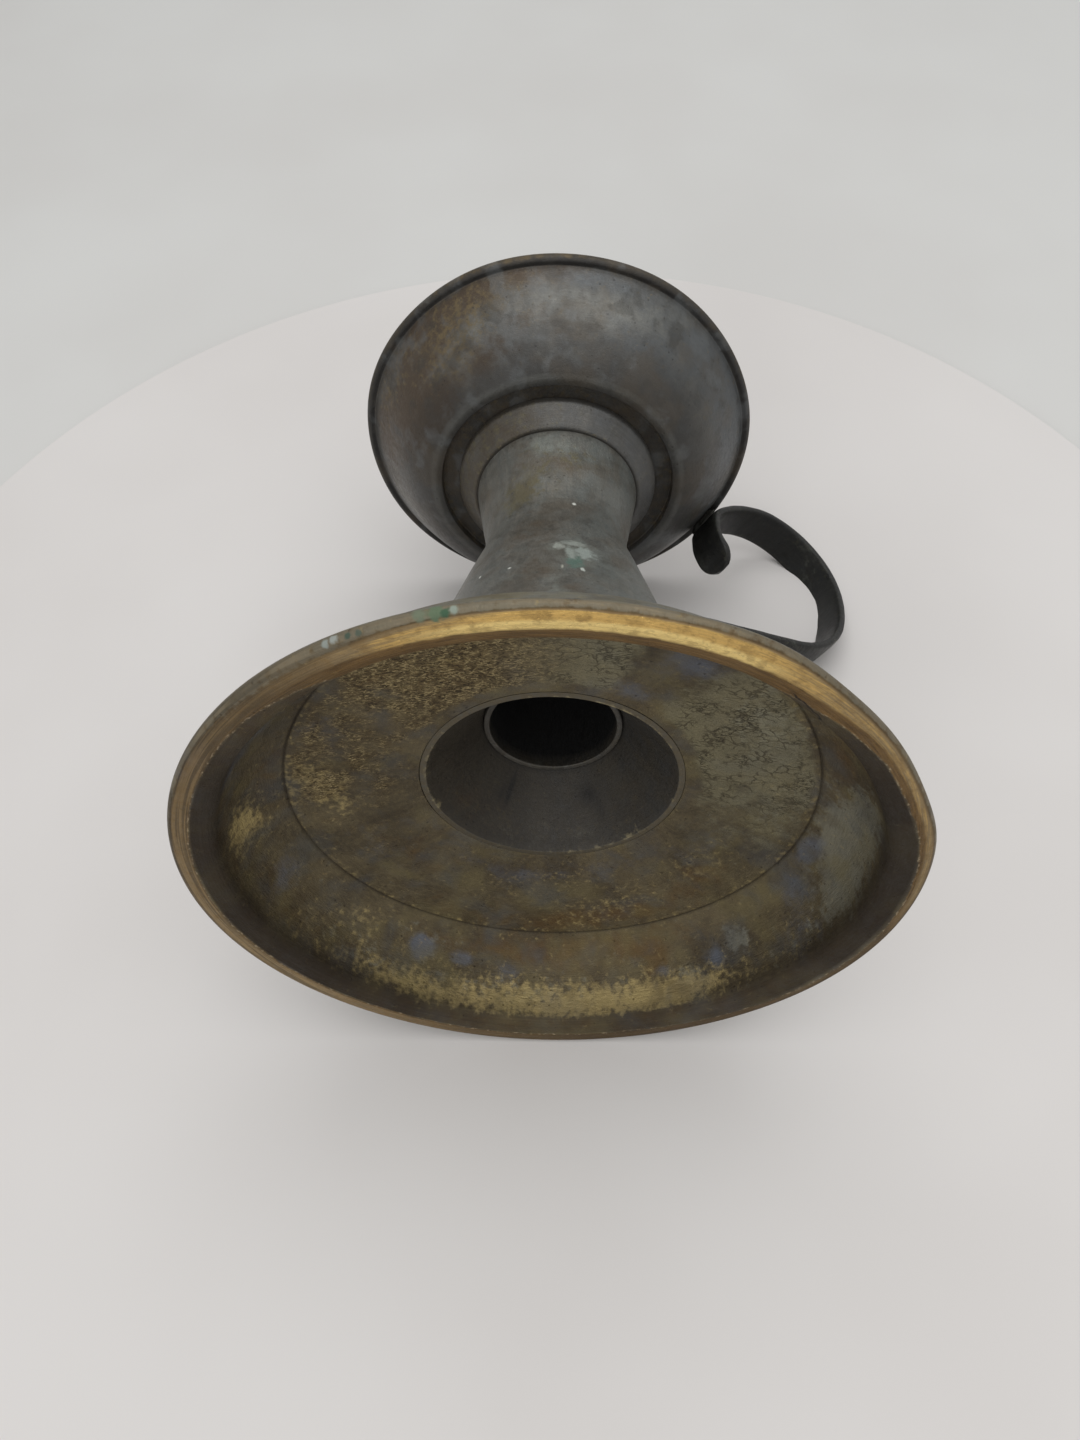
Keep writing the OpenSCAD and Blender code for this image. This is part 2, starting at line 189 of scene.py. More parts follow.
def steps(tree, value, low, high, to_low=0.0, to_high=1.0):
    """Smooth step of a value from low to high onto to_low to to_high, as a socket."""
    sockets = {0: value, 1: low, 2: high, 3: to_low, 4: to_high}
    return add(tree, "MapRange", sockets, interpolation_type="SMOOTHSTEP").outputs[0]


def effect(name, inputs, outputs):
    """An empty node group with number or vector inputs and number outputs, and its end nodes."""
    tree = bpy.data.node_groups.new(name, "ShaderNodeTree")
    for label, value in inputs.items():
        kind = "NodeSocketVector" if isinstance(value, tuple) else "NodeSocketFloat"
        tree.interface.new_socket(label, in_out="INPUT", socket_type=kind).default_value = value
    for label in outputs:
        tree.interface.new_socket(label, in_out="OUTPUT", socket_type="NodeSocketFloat")
    return tree, tree.nodes.new("NodeGroupInput").outputs, tree.nodes.new("NodeGroupOutput").inputs


# Grain that follows the turning. Its space is (x / r Round, y / r Round, (z + Slant r) Along),
# so a small Round and a large Along draw long lathe lines, and the reverse draws streaks.
turning_grain, given, result = effect(
    "turning grain",
    {"Round": 4.0, "Along": 200.0, "Slant": -1.0, "Shift": 0.0, "Detail": 4.0, "Rough": 0.6,
     "Low": 0.4, "High": 0.6},
    ["Mask", "Raw"],
)
object_place = add(turning_grain, "TexCoord").outputs["Object"]
part = add(turning_grain, "SeparateXYZ", {0: object_place}).outputs
flat = add(turning_grain, "CombineXYZ", {0: part[0], 1: part[1]}).outputs[0]
radius = add(turning_grain, "VectorMath", {0: flat}, operation="LENGTH").outputs["Value"]
turn = add(turning_grain, "VectorMath", {0: flat}, operation="NORMALIZE").outputs[0]
turn = add(turning_grain, "SeparateXYZ", {0: turn}).outputs
slide = maths(turning_grain, "MULTIPLY_ADD", radius, given["Slant"], part[2])
slide = maths(turning_grain, "MULTIPLY_ADD", slide, given["Along"], given["Shift"])
space = add(turning_grain, "CombineXYZ", {
    0: maths(turning_grain, "MULTIPLY", turn[0], given["Round"]),
    1: maths(turning_grain, "MULTIPLY", turn[1], given["Round"]),
    2: slide,
}).outputs[0]
noise = add(turning_grain, "TexNoise", {
    "Vector": space, "Scale": 1.0, "Detail": given["Detail"], "Roughness": given["Rough"],
}).outputs[0]
turning_grain.links.new(noise, result["Raw"])
turning_grain.links.new(steps(turning_grain, noise, given["Low"], given["High"]), result["Mask"])

# A soft mask broken up by noise, so that its edge turns ragged: step(Amount + Spread (noise - 1/2)).
ragged_edge, given, result = effect(
    "ragged edge", {"Amount": 0.0, "Scale": 300.0, "Spread": 0.9, "Soft": 0.18}, ["Mask"]
)
object_place = add(ragged_edge, "TexCoord").outputs["Object"]
noise = add(ragged_edge, "TexNoise", {
    "Vector": object_place, "Scale": given["Scale"], "Detail": 6.0, "Roughness": 0.65,
}).outputs[0]
pushed = maths(ragged_edge, "MULTIPLY_ADD", maths(ragged_edge, "SUBTRACT", noise, 0.5),
               given["Spread"], given["Amount"])
ragged_edge.links.new(
    steps(ragged_edge, pushed, maths(ragged_edge, "SUBTRACT", 0.5, given["Soft"]),
          maths(ragged_edge, "ADD", 0.5, given["Soft"])),
    result["Mask"],
)

# Small pits and specks: the middles of few of the cells of a cell pattern.
pitting, given, result = effect(
    "pitting", {"Scale": 900.0, "Share": 0.25, "Size": 0.25}, ["Mask"]
)
object_place = add(pitting, "TexCoord").outputs["Object"]
cells = add(pitting, "TexVoronoi", {"Vector": object_place, "Scale": given["Scale"]})
chosen = add(pitting, "SeparateColor", {0: cells.outputs["Color"]}).outputs[0]
chosen = maths(pitting, "LESS_THAN", chosen, given["Share"])
dot = steps(pitting, cells.outputs["Distance"], given["Size"], 0.0)
pitting.links.new(maths(pitting, "MULTIPLY", chosen, dot), result["Mask"])


# A small crust at one place: 1 - |(p - Place) / Reach + noise|, 1 in its middle and 0 outside.
crust, given, result = effect(
    "crust", {"Place": (0.0, 0.0, 0.0), "Reach": (0.001, 0.001, 0.001), "Rough": 1.2}, ["Mask"]
)
object_place = add(crust, "TexCoord").outputs["Object"]
wobble = add(crust, "TexNoise", {"Vector": object_place, "Scale": 900.0, "Detail": 3.0}).outputs[1]
wobble = add(crust, "VectorMath", {0: wobble, 1: (0.5,) * 3}, operation="SUBTRACT").outputs[0]
wobble = add(crust, "VectorMath", {0: wobble, "Scale": given["Rough"]}, operation="SCALE").outputs[0]
away = add(crust, "VectorMath", {0: object_place, 1: given["Place"]}, operation="SUBTRACT").outputs[0]
away = add(crust, "VectorMath", {0: away, 1: given["Reach"]}, operation="DIVIDE").outputs[0]
away = add(crust, "VectorMath", {0: away, 1: wobble}).outputs[0]
away = add(crust, "VectorMath", {0: away}, operation="LENGTH").outputs["Value"]
crust.links.new(maths(crust, "SUBTRACT", 1.0, away, clamp=True), result["Mask"])


def placed(tree, shared, output="Mask", **values):
    """One use of a shared effect in a material, as a socket. Values may be links."""
    node = add(tree, "Group", node_tree=shared)
    for key, value in values.items():
        if isinstance(value, bpy.types.NodeSocket):
            tree.links.new(value, node.inputs[key])
        else:
            node.inputs[key].default_value = value
    return node.outputs[output]


def on_turned(azimuth, r, z):
    """The place in metres of a point given by azimuth in degrees, r and z in millimetres."""
    a = np.radians(azimuth)
    return (float(r * np.cos(a) * mm), float(r * np.sin(a) * mm), z * mm)


def old_brass(name, tints, slant, streaks, metal=0.45, rough=0.5, worn_rough=0.3, relief=0.12,
              pale_edge=(520.0, 2.2, 0.28), gloss=0.5):
    """Tarnished brass. The dark and the light tarnish mix in broad clouds and fine grain. The
    attribute film lays ochre, blue, pale and brown films on them, and the wear attribute adds
    rubbed metal, turned lines and, in its alpha, grime together with painted shade, laid in the
    dark grime tint. The edge of a film breaks up by the noise scale, the spread and the
    softness that laid() gets, and those of the pale film are pale_edge."""
    material = bpy.data.materials.new(name)
    material.use_nodes = True
    tree = material.node_tree
    shader = tree.nodes["Principled BSDF"]
    shader.inputs["Specular IOR Level"].default_value = gloss
    film = add(tree, "Attribute", attribute_name="film").outputs
    wear_and_shade = add(tree, "Attribute", attribute_name="wear_and_shade").outputs
    films = add(tree, "SeparateColor", {0: film["Color"]}).outputs
    wears = add(tree, "SeparateColor", {0: wear_and_shade["Color"]}).outputs
    clouds = placed(tree, turning_grain, Round=streaks[0], Along=streaks[1], Slant=slant,
                    Detail=6.0, Rough=0.68, Low=0.36, High=0.64)
    grain = placed(tree, turning_grain, Round=30.0, Along=1000.0, Slant=slant, Shift=7.0,
                   Detail=5.0, Rough=0.75, Low=0.34, High=0.68)
    lathe = placed(tree, turning_grain, Round=1.4, Along=2800.0, Slant=slant, Shift=3.0,
                   Detail=3.0, Rough=0.6, Low=0.38, High=0.62)
    mixed = maths(tree, "MULTIPLY_ADD", grain, 0.5, maths(tree, "MULTIPLY", clouds, 0.6))
    colour = over(tree, mixed, tints["dark"], tints["light"])

    def laid(under, amount, tint, depth, scale, spread, soft=0.28):
        mask = placed(tree, ragged_edge, Amount=amount, Scale=scale, Spread=spread, Soft=soft)
        return over(tree, maths(tree, "MULTIPLY", mask, depth), under, tint)

    colour = laid(colour, film["Alpha"], tints["brown"], 0.8, 300.0, 1.5, 0.38)
    colour = laid(colour, films[2], tints["pale"], 0.75, *pale_edge)
    colour = laid(colour, films[1], tints["blue"], 0.75, 230.0, 1.2, 0.36)
    colour = laid(colour, films[0], tints["ochre"], 0.8, 700.0, 2.2, 0.34)
    rubbed = placed(tree, ragged_edge, Amount=wears[0], Scale=480.0, Spread=1.7, Soft=0.25)
    colour = over(tree, rubbed, colour, tints["worn"])
    lathe = maths(tree, "MULTIPLY", lathe, maths(tree, "MULTIPLY_ADD", wears[1], 0.6, 0.03))
    colour = over(tree, lathe, colour, tints["grime_and_shade"])
    pits = placed(tree, pitting, Scale=800.0, Share=0.2, Size=0.3)
    colour = over(tree, maths(tree, "MULTIPLY", pits, 0.6), colour, tints["grime_and_shade"])
    # The alpha lays grime and, on pieces that ask for it, painted shade, in the dark tint.
    colour = over(tree, wear_and_shade["Alpha"], colour, tints["grime_and_shade"])
    tree.links.new(colour, shader.inputs["Base Color"])
    shine = maths(tree, "MULTIPLY_ADD", rubbed, 1.0 - metal, metal)
    shine = maths(tree, "MULTIPLY", shine, maths(tree, "MULTIPLY_ADD", wear_and_shade["Alpha"], -0.85, 1.0))
    tree.links.new(shine, shader.inputs["Metallic"])
    roughness = maths(tree, "MULTIPLY_ADD", grain, 0.2, rough - 0.1)
    roughness = maths(tree, "MULTIPLY_ADD", wear_and_shade["Alpha"], 0.2, roughness)
    roughness = maths(tree, "MULTIPLY_ADD", rubbed, worn_rough - rough, roughness)
    tree.links.new(roughness, shader.inputs["Roughness"])
    height = maths(tree, "MULTIPLY_ADD", grain, 0.6, lathe)
    height = maths(tree, "SUBTRACT", height, pits)
    bump = add(tree, "Bump", {"Height": height, "Strength": 0.7, "Distance": relief * mm})
    tree.links.new(bump.outputs[0], shader.inputs["Normal"])
    return material


def crusted(material, place, reach, tint, low=0.05, high=0.3):
    """Lays a crust of one colour on a material, where crust() is above low to high."""
    tree = material.node_tree
    shader = tree.nodes["Principled BSDF"]
    mask = placed(tree, crust, Place=place, Reach=tuple(size * mm for size in reach))
    mask = steps(tree, mask, low, high)
    colour = over(tree, mask, shader.inputs["Base Color"].links[0].from_socket, tint)
    tree.links.new(colour, shader.inputs["Base Color"])
    shine = maths(tree, "MULTIPLY", shader.inputs["Metallic"].links[0].from_socket,
                  maths(tree, "SUBTRACT", 1.0, mask))
    tree.links.new(shine, shader.inputs["Metallic"])


def smudged(material, rows, keep=1.0, swirl=0.4):
    """Lays soft patches of a tint where a noise rises from low to high, times keep. A row holds
    the noise's scale and shift, low, high, the depth of the patch and its tint."""
    tree = material.node_tree
    shader = tree.nodes["Principled BSDF"]
    colour = shader.inputs["Base Color"].links[0].from_socket
    place = add(tree, "TexCoord").outputs["Object"]
    for scale, shift, low, high, depth, tint in rows:
        spot = add(tree, "VectorMath", {0: place, 1: (shift,) * 3}).outputs[0]
        noise = add(tree, "TexNoise", {"Vector": spot, "Scale": scale, "Detail": 4.0,
                                       "Distortion": swirl}).outputs[0]
        mask = maths(tree, "MULTIPLY", steps(tree, noise, low, high, 0.0, depth), keep)
        colour = over(tree, mask, colour, tint)
    tree.links.new(colour, shader.inputs["Base Color"])


base_r, rim_h, rim_edge_r = 65.7, 2.2, 1.1
flat_out_r, flat_in_r, skirt_r, skirt_low_z = 64.6, 62.4, 57.8, 1.0
line_r, line_z = 49.2, 17.4
hole_r, hole_z, seat_z, seat_r = 24.9, 21.4, 22.6, 35.0
skirt_bulge_turn = (58.1, 11.6)
edge_angles = np.radians(np.arange(-90, 91, 18))
rim_edge = np.stack([flat_out_r + rim_edge_r * np.cos(edge_angles),
                     rim_edge_r + rim_edge_r * np.sin(edge_angles)], 1)
skirt_inside = bend((skirt_r, skirt_low_z), skirt_bulge_turn, (line_r + 0.35, line_z - 0.2))
skirt_outside = bend((line_r + 0.66, line_z + 1.0), (59.15, 12.6), (59.05, rim_h + 0.7))
cove_turn = bend((skirt_r, skirt_low_z + 2.2), (skirt_r, skirt_low_z), (skirt_r + 2.2, skirt_low_z - 0.48), 8)
base_outline = eased(np.concatenate([
    cove_turn, np.linspace(cove_turn[-1], (flat_in_r, 0.0), 8)[1:],
    rim_edge[:1], rim_edge[1:-1], rim_edge[-1:],
    [(59.7, rim_h)],
    skirt_outside[::-1],
    [(seat_r, seat_z), (hole_r, seat_z), (hole_r, hole_z + 0.12), (hole_r + 0.12, hole_z)],
    [(line_r - 0.3, line_z + 0.05), (line_r, line_z + 0.28)],
    skirt_inside[skirt_inside[:, 1] > skirt_low_z + 2.6][::-1],
]), ease=0.35)


def base_sway(a, r, z):
    """The rim is pushed in over some 40 degrees, and the casting runs slightly out of round."""
    dent = -1.5 * np.exp(-(round_gap(a, -68) / 20) ** 4) * between(r, 52, 63)
    wave = 0.10 * np.sin(3 * a + 1.0) + 0.07 * np.sin(5 * a + 2.0) - 0.15
    return dent + wave * r / base_r, 0.06 * np.sin(2 * a) * between(r, 30, 50) * between(r, 61, 54)


base, a, r, z = turned("base", base_outline, 560, base_sway)
degrees = np.degrees(a)


def round_rim(*pairs):
    """A value that runs in straight steps between (azimuth, value) pairs round the axis."""
    azimuths, values = zip(*pairs)
    return np.interp(degrees, azimuths, values, period=360)


middle = (skirt_inside + skirt_outside[::-1]) / 2
middle = np.concatenate([[(24, 22), (35, 21.2)], middle[::-1], [(66, 1.4)]])
under_side = z < np.interp(r, *middle.T)
outside = 1.0 - under_side
on_cove = between(r, skirt_r - 0.2, skirt_r + 0.8) * between(r, flat_in_r + 0.1, flat_in_r - 0.4)
ochre_rows = [
    (150, 43, 18.4, 5.5, 5, 0.58), (141, 39.5, 19, 4, 3, 0.32), (157, 46, 17.9, 4, 3, 0.25),
    (6, 38, 19.2, 7, 4, 0.34), (36, 41, 18.7, 8, 3, 0.3), (60, 34, 20, 16, 5, 0.2),
    (148, 56.4, 10.4, 6.5, 5, 0.8), (55, 57.8, 4.0, 27, 3.8, 0.82), (92, 57.6, 5.0, 14, 3.4, 0.5),
    (30, 57.6, 5.0, 12, 3.4, 0.65), (60, 57.0, 8.0, 30, 3, 0.3), (-128, 40, 19, 24, 7, 0.14),
    (-155, 38, 19.2, 13, 6, 0.24), (105, 54.5, 13, 10, 4, 0.26), (-40, 42, 18.7, 12, 4, 0.16),
    (118, 57.4, 5, 10, 4, 0.2), (0, 57.4, 5, 10, 5, 0.12), (50, 44.5, 18.2, 9, 3, 0.25),
]
blue_rows = [
    (-98, 30, 21, 9, 3, 0.5), (-90, 43, 18.6, 7, 6, 0.6), (178, 57.4, 6, 10, 8, 1.3),
    (128, 55.5, 11, 5, 7, 0.5), (88.5, 54.6, 12.7, 2.6, 2.4, 1.6), (79, 55, 12.2, 2.4, 1.4, 1.3),
    (-17, 51.6, 15.9, 4, 2.4, 1.3), (-6, 53.6, 14, 4, 3, 0.8), (33, 56.6, 9.6, 2.2, 1.4, 0.9),
    (20, 56.5, 9.6, 3, 2.6, 0.7), (68, 56, 11, 5, 3, 0.4), (120, 38, 19, 12, 5, 0.25),
    (172, 44, 18.3, 5, 5, 0.4), (35, 30, 20.6, 10, 4, 0.35), (-2, 57.4, 7.0, 8, 5, 0.4),
    (75, 31, 20.4, 12, 3, 0.5), (0, 34, 20, 6, 4, 0.5), (-88, 40, 18.9, 4, 4, 0.2),
]
pale_rows = [
    (-28, 54, 14, 8, 6, 1.0), (-18, 56.4, 10, 8, 6, 0.95), (-38, 56.6, 9.5, 8, 6, 0.75),
    (100, 57, 8, 14, 4, 0.3), (-10, 57.4, 6, 16, 4, 0.35),
    (14, 55.4, 11.6, 3.5, 3, 0.8), (27, 57, 8.6, 3, 3, 0.5), (60, 57.4, 7, 22, 3.5, 0.45),
    (-62, 43, 18.5, 9, 7, 0.55), (-43, 40, 19, 10, 5, 0.4), (-100, 50, 17, 14, 4, 0.3),
    (88, 52.5, 14.8, 6, 1.6, 0.35), (-22, 43, 18.5, 6, 4, 0.3),
]
brown_rows = [
    (133, 57, 9, 12, 6, 0.4), (160, 57.6, 4, 16, 4, 0.42), (158, 52, 15.4, 10, 4, 0.4),
    (-150, 36, 19.5, 10, 5, 0.5), (-133, 43, 18.6, 14, 4, 0.5), (-165, 44, 18.3, 8, 4, 0.5),
    (110, 34, 20, 10, 5, 0.4), (-55, 56, 10, 5, 7, 0.4), (20, 44, 18, 12, 4, 0.4),
    (75, 46, 18, 16, 3, 0.4), (45, 52.5, 15, 18, 4, 0.75), (75, 53, 14.4, 20, 3, 0.5),
    (34, 56, 11, 3, 5, 0.7), (110, 57, 7, 12, 4, 0.2), (5, 56, 10, 4, 8, 0.2),
    (-48, 52.6, 14.8, 9, 3, 0.6), (50, 44.5, 18.2, 10, 3, 0.85), (9, 40, 19, 5, 3, 0.8),
    (34, 44.5, 18.2, 5, 3, 0.6),
]
film = [spots(a, r, z, rows) * under_side * (1 - on_cove)
        for rows in (ochre_rows, blue_rows, pale_rows, brown_rows)]
# A painted highlight just inside the small step of the scribed line.
scribed_highlight = 0.25 * np.exp(-((r - line_r + 0.6) / 0.3) ** 2) * under_side * (z > 17)
grey_r = round_rim((-178, 64.3), (-165, 63.8), (-150, 63.8), (-138, 64.3), (-120, 64.6), (150, 64.6))
outer_edge = between(r, grey_r + 0.4, grey_r + 0.9)
marked(base, "film", film[0] * np.where(r > 50, between(z, 0.6, 2.2), 1) + scribed_highlight,
       film[1] + 0.35 * outside, film[2] + np.maximum(0.8 * outside, 0.75 * outer_edge),
       film[3] + 0.4 * on_cove * under_side)
smoky = spots(a, r, z, [
    (-103, 40, 18.9, 6, 10, 0.42), (-22, 40, 18.8, 15, 8, 0.25), (130, 33, 20.1, 14, 6, 0.3),
    (80, 30, 20.6, 14, 4, 0.2), (-12, 30, 20.6, 12, 5, 0.25), (175, 56.5, 8, 9, 9, 0.4),
    (-89, 40, 18.9, 6, 6, 0.22), (38, 33, 20.1, 16, 5, 0.12),
    (170, 42, 18.6, 5, 9, 0.25), (-50, 30, 20.6, 10, 4, 0.2),
]) * under_side

# Round the rim run two borders. Outside gold_r the metal is rubbed, and between gold_r and
# lip_r the lip stays brown. Both pairs of lists give the azimuth in degrees and the radius.
gold_r = round_rim((-178, 62.0), (-165, 61.9), (-150, 61.5), (-140, 61.1), (-95, 61.1),
                   (-85, 61.8), (-78, 62.7), (-68, 63.6), (-55, 63.8), (-30, 63.8), (0, 63.8),
                   (40, 62.6), (90, 62.3), (150, 62.3))
lip_r = round_rim((-178, 61.9), (-170, 61.6), (-165, 61.0), (-160, 60.3), (-155, 59.3),
                  (-151, 57.6), (-93, 57.6), (-91, 58.2), (-87, 59.1), (-80, 60.3), (-75, 61.2),
                  (-70, 61.8), (-65, 62.4), (-45, 62.7), (-35, 63.1), (-20, 63.6), (5, 63.5),
                  (20, 63.0), (40, 62.2), (90, 62.1), (150, 62.2))
gold = round_rim((-178, 0.26), (-165, 0.2), (-154, 0.3), (-144, 0.75), (-125, 1.0), (-100, 1.0),
                 (-90, 0.8), (-76, 0.62), (-50, 0.6), (-30, 0.48), (-15, 0.15), (50, 0.1),
                 (80, 0.3), (110, 0.5), (150, 0.36))
grooves = round_rim((-178, 1.0), (-160, 0.6), (-145, 0.1), (-60, 0.15), (-30, 0.4), (20, 0.3),
                    (90, 0.7), (130, 1.0))
marked(
    base, "rim",
    np.where(under_side, 0.5 + (r - gold_r) / 8, 0), np.where(under_side, 0.5 + (r - lip_r) / 8, 0),
    gold * between(r, grey_r + 0.75, grey_r) * under_side, grooves * under_side,
)
# A painted shadow on the small step of the scribed line.
scribed_shadow = np.exp(-((r - line_r) / 0.22) ** 2) * (np.abs(z - line_z) < 0.6)
crazed = round_rim((-178, 0.45), (-160, 0.9), (-105, 1.0), (-98, 0.15), (-86, 0.1), (-76, 0.9),
                   (-40, 0.9), (-20, 0.45), (0, 0.15), (60, 0.1), (130, 0.15), (150, 0.4))
crazed = crazed * between(r, 49.2, 47) * between(r, 26, 29) * under_side
crazed_spots = spots(a, r, z, [(150, 43, 18.4, 5, 4.5, 0.95), (160, 36, 19.6, 6, 4, 0.6)])
crazed = np.maximum(crazed, crazed_spots * under_side)
# Painted shade, laid through the alpha of the wear attribute: the cove and the low skirt inside the lip go dark,
# most at the sides and the bottom, and so does the flat on the bottom side.
shade = round_rim((-178, 0.6), (-160, 0.5), (-150, 0.1), (-95, 0.1), (-80, 0.6), (-60, 0.9),
                  (-10, 0.88), (10, 0.75), (25, 0.5), (70, 0.45), (90, 0.75), (110, 0.9), (160, 0.85))
shade_top = round_rim((-178, 9.0), (-60, 10.0), (-10, 9.0), (20, 5.0), (80, 5.0), (105, 8.0))
shade = shade * between(r, lip_r + 0.1, lip_r - 0.4) * between(z, shade_top, 0.6) * between(r, 50, 54)
flat_shade = round_rim((-178, 0.12), (-160, 0.0), (-60, 0.0), (-35, 0.3), (-15, 0.62), (50, 0.55),
                       (80, 0.3), (110, 0.1), (150, 0.15))
shade = np.maximum(shade, flat_shade * between(r, lip_r - 0.1, lip_r + 0.3) * between(r, 65.6, 64.8))
marked(base, "wear_and_shade", 0 * a, 0.08 + 0.25 * on_cove, crazed,
       np.maximum(0.7 * scribed_shadow, shade * under_side) + smoky)

base_brass = old_brass(
    "base brass",
    dict(dark=tone(70, 62, 50), light=tone(110, 99, 76), ochre=tone(190, 170, 118),
         blue=tone(102, 108, 120), pale=tone(134, 132, 118), brown=tone(98, 76, 47),
         worn=tone(222, 188, 122), grime_and_shade=tone(32, 24, 17)),
    slant=-1.0, streaks=(4.0, 40.0), metal=0.4, rough=0.5, worn_rough=0.3, relief=0.16, gloss=0.2,
)

# On the rim the borders turn ragged, the lip is brown, the rubbed metal is gold where it is
# bare and tan elsewhere, a painted highlight lights the inner corner of the flat where it is
# most rubbed, and a broken pale line of painted glints runs along the edge of the lip.
tree = base_brass.node_tree
shader = tree.nodes["Principled BSDF"]
rim = add(tree, "Attribute", attribute_name="rim").outputs
bands = add(tree, "SeparateColor", {0: rim["Color"]}).outputs
place = add(tree, "TexCoord").outputs["Object"]
shiver = add(tree, "TexNoise", {"Vector": place, "Scale": 330.0, "Detail": 4.0}).outputs[0]
brushed = placed(tree, turning_grain, Round=9.0, Along=3000.0, Slant=-1.0, Detail=4.0, Rough=0.7,
                 Low=0.36, High=0.64)
flecks = placed(tree, turning_grain, Round=55.0, Along=1500.0, Slant=-1.0, Detail=4.0, Rough=0.7,
                Low=0.5, High=0.66)


def past(border, wander):
    """Millimetres past a border that the attribute holds as 0.5 + distance / 8."""
    drift = maths(tree, "MULTIPLY_ADD", shiver, 2.0 * wander, -4.0 - wander)
    return maths(tree, "MULTIPLY_ADD", border, 8.0, drift)


lip_way, gold_way = past(bands[1], 0.35), past(bands[0], 0.4)
on_lip = steps(tree, lip_way, -0.15, 0.15)
bare = maths(tree, "MULTIPLY", steps(tree, gold_way, -0.3, 0.4), steps(tree, bands[2], 0.05, 0.55))
colour = shader.inputs["Base Color"].links[0].from_socket
lip_tint = over(tree, brushed, tone(88, 64, 32), tone(126, 96, 54))
lip_depth = steps(tree, bands[2], 0.08, 0.4, 0.3, 0.78)
colour = over(tree, maths(tree, "MULTIPLY", on_lip, lip_depth), colour, lip_tint)
rich = steps(tree, maths(tree, "MULTIPLY_ADD", brushed, 0.25, bands[2]), 0.6, 1.15)
metal_tint = over(tree, rich, tone(146, 126, 93), tone(224, 185, 112))
# Painted highlight: where the flat is most rubbed, its inner corner turns pale bright gold and less metallic.
rubbed_highlight = maths(tree, "MULTIPLY", steps(tree, gold_way, 2.3, 1.5), steps(tree, bands[2], 0.75, 0.95))
metal_tint = over(tree, rubbed_highlight, metal_tint, tone(255, 224, 148))
metal_tint = over(tree, maths(tree, "MULTIPLY", flecks, 0.28), metal_tint, tone(92, 72, 50))
metal_tint = over(tree, steps(tree, shiver, 0.52, 0.66, 0.0, 0.42), metal_tint, tone(136, 108, 66))
colour = over(tree, maths(tree, "MULTIPLY", bare, 0.92), colour, metal_tint)
cuts = placed(tree, turning_grain, Round=2.5, Along=3400.0, Slant=-1.0, Shift=11.0, Detail=2.0,
              Rough=0.6, Low=0.44, High=0.56)
cuts = maths(tree, "MULTIPLY", maths(tree, "MULTIPLY", cuts, on_lip), rim["Alpha"])
colour = over(tree, maths(tree, "MULTIPLY", cuts, 0.55), colour, tone(48, 40, 30))
# Painted glints: a broken pale line along the edge of the lip.
lip_glints = maths(tree, "MULTIPLY", steps(tree, maths(tree, "ABSOLUTE", lip_way), 0.3, 0.1), flecks)
colour = over(tree, maths(tree, "MULTIPLY", lip_glints, 0.6), colour, tone(186, 168, 138))
tree.links.new(colour, shader.inputs["Base Color"])
shine = shader.inputs["Metallic"].links[0].from_socket
shine = maths(tree, "MULTIPLY_ADD", maths(tree, "MULTIPLY", bare, rich), 0.5, shine, clamp=True)
shine = maths(tree, "MULTIPLY_ADD", rubbed_highlight, -0.3, shine, clamp=True)
tree.links.new(shine, shader.inputs["Metallic"])
dull = shader.inputs["Roughness"].links[0].from_socket
dull = maths(tree, "MULTIPLY_ADD", maths(tree, "MULTIPLY", bare, rich), -0.14, dull)
tree.links.new(dull, shader.inputs["Roughness"])

# Smudges over the whole under side: olive, blue grey and dark brown patches with soft edges.
clean = maths(tree, "SUBTRACT", 1.0, maths(tree, "MAXIMUM", on_lip, add(
    tree, "Attribute", attribute_name="wear_and_shade").outputs["Alpha"]), clamp=True)
smudged(base_brass, (
    (90.0, 0.00, 0.44, 0.70, 0.50, tone(116, 106, 74)),
    (130.0, 0.31, 0.46, 0.72, 0.50, tone(80, 82, 84)),
    (190.0, 0.57, 0.44, 0.74, 0.38, tone(68, 56, 41)),
), clean)
colour = shader.inputs["Base Color"].links[0].from_socket

# Crazed lacquer on the shelf. On the left short pale wrinkles stand on dark brown, on the
# right dark branching cracks run through grey green, and one long crack crosses the skirt.
wear_and_shade = add(tree, "Attribute", attribute_name="wear_and_shade").outputs["Color"]
crazed = add(tree, "SeparateColor", {0: wear_and_shade}).outputs[2]
crazed = placed(tree, ragged_edge, Amount=crazed, Scale=240.0, Spread=1.6, Soft=0.3)
brush = add(tree, "Mapping", {"Vector": place, "Rotation": (0.0, 0.0, np.radians(33))}).outputs[0]
side = add(tree, "SeparateXYZ", {0: brush}).outputs[0]
right = steps(tree, side, -0.012, 0.008)


def wrinkle(scale, detail, width):
    """Lines where a noise drawn out along the brushing crosses its middle."""
    space = add(tree, "VectorMath", {0: brush, 1: scale}, operation="MULTIPLY").outputs[0]
    noise = add(tree, "TexNoise", {"Vector": space, "Scale": 1.0, "Detail": detail}).outputs[0]
    return steps(tree, maths(tree, "ABSOLUTE", maths(tree, "SUBTRACT", noise, 0.5)), width, 0.0)


def patchy(scale, low, high):
    """A mask with noise of the given scale."""
    noise = add(tree, "TexNoise", {"Vector": place, "Scale": scale, "Detail": 3.0}).outputs[0]
    return steps(tree, noise, low, high)


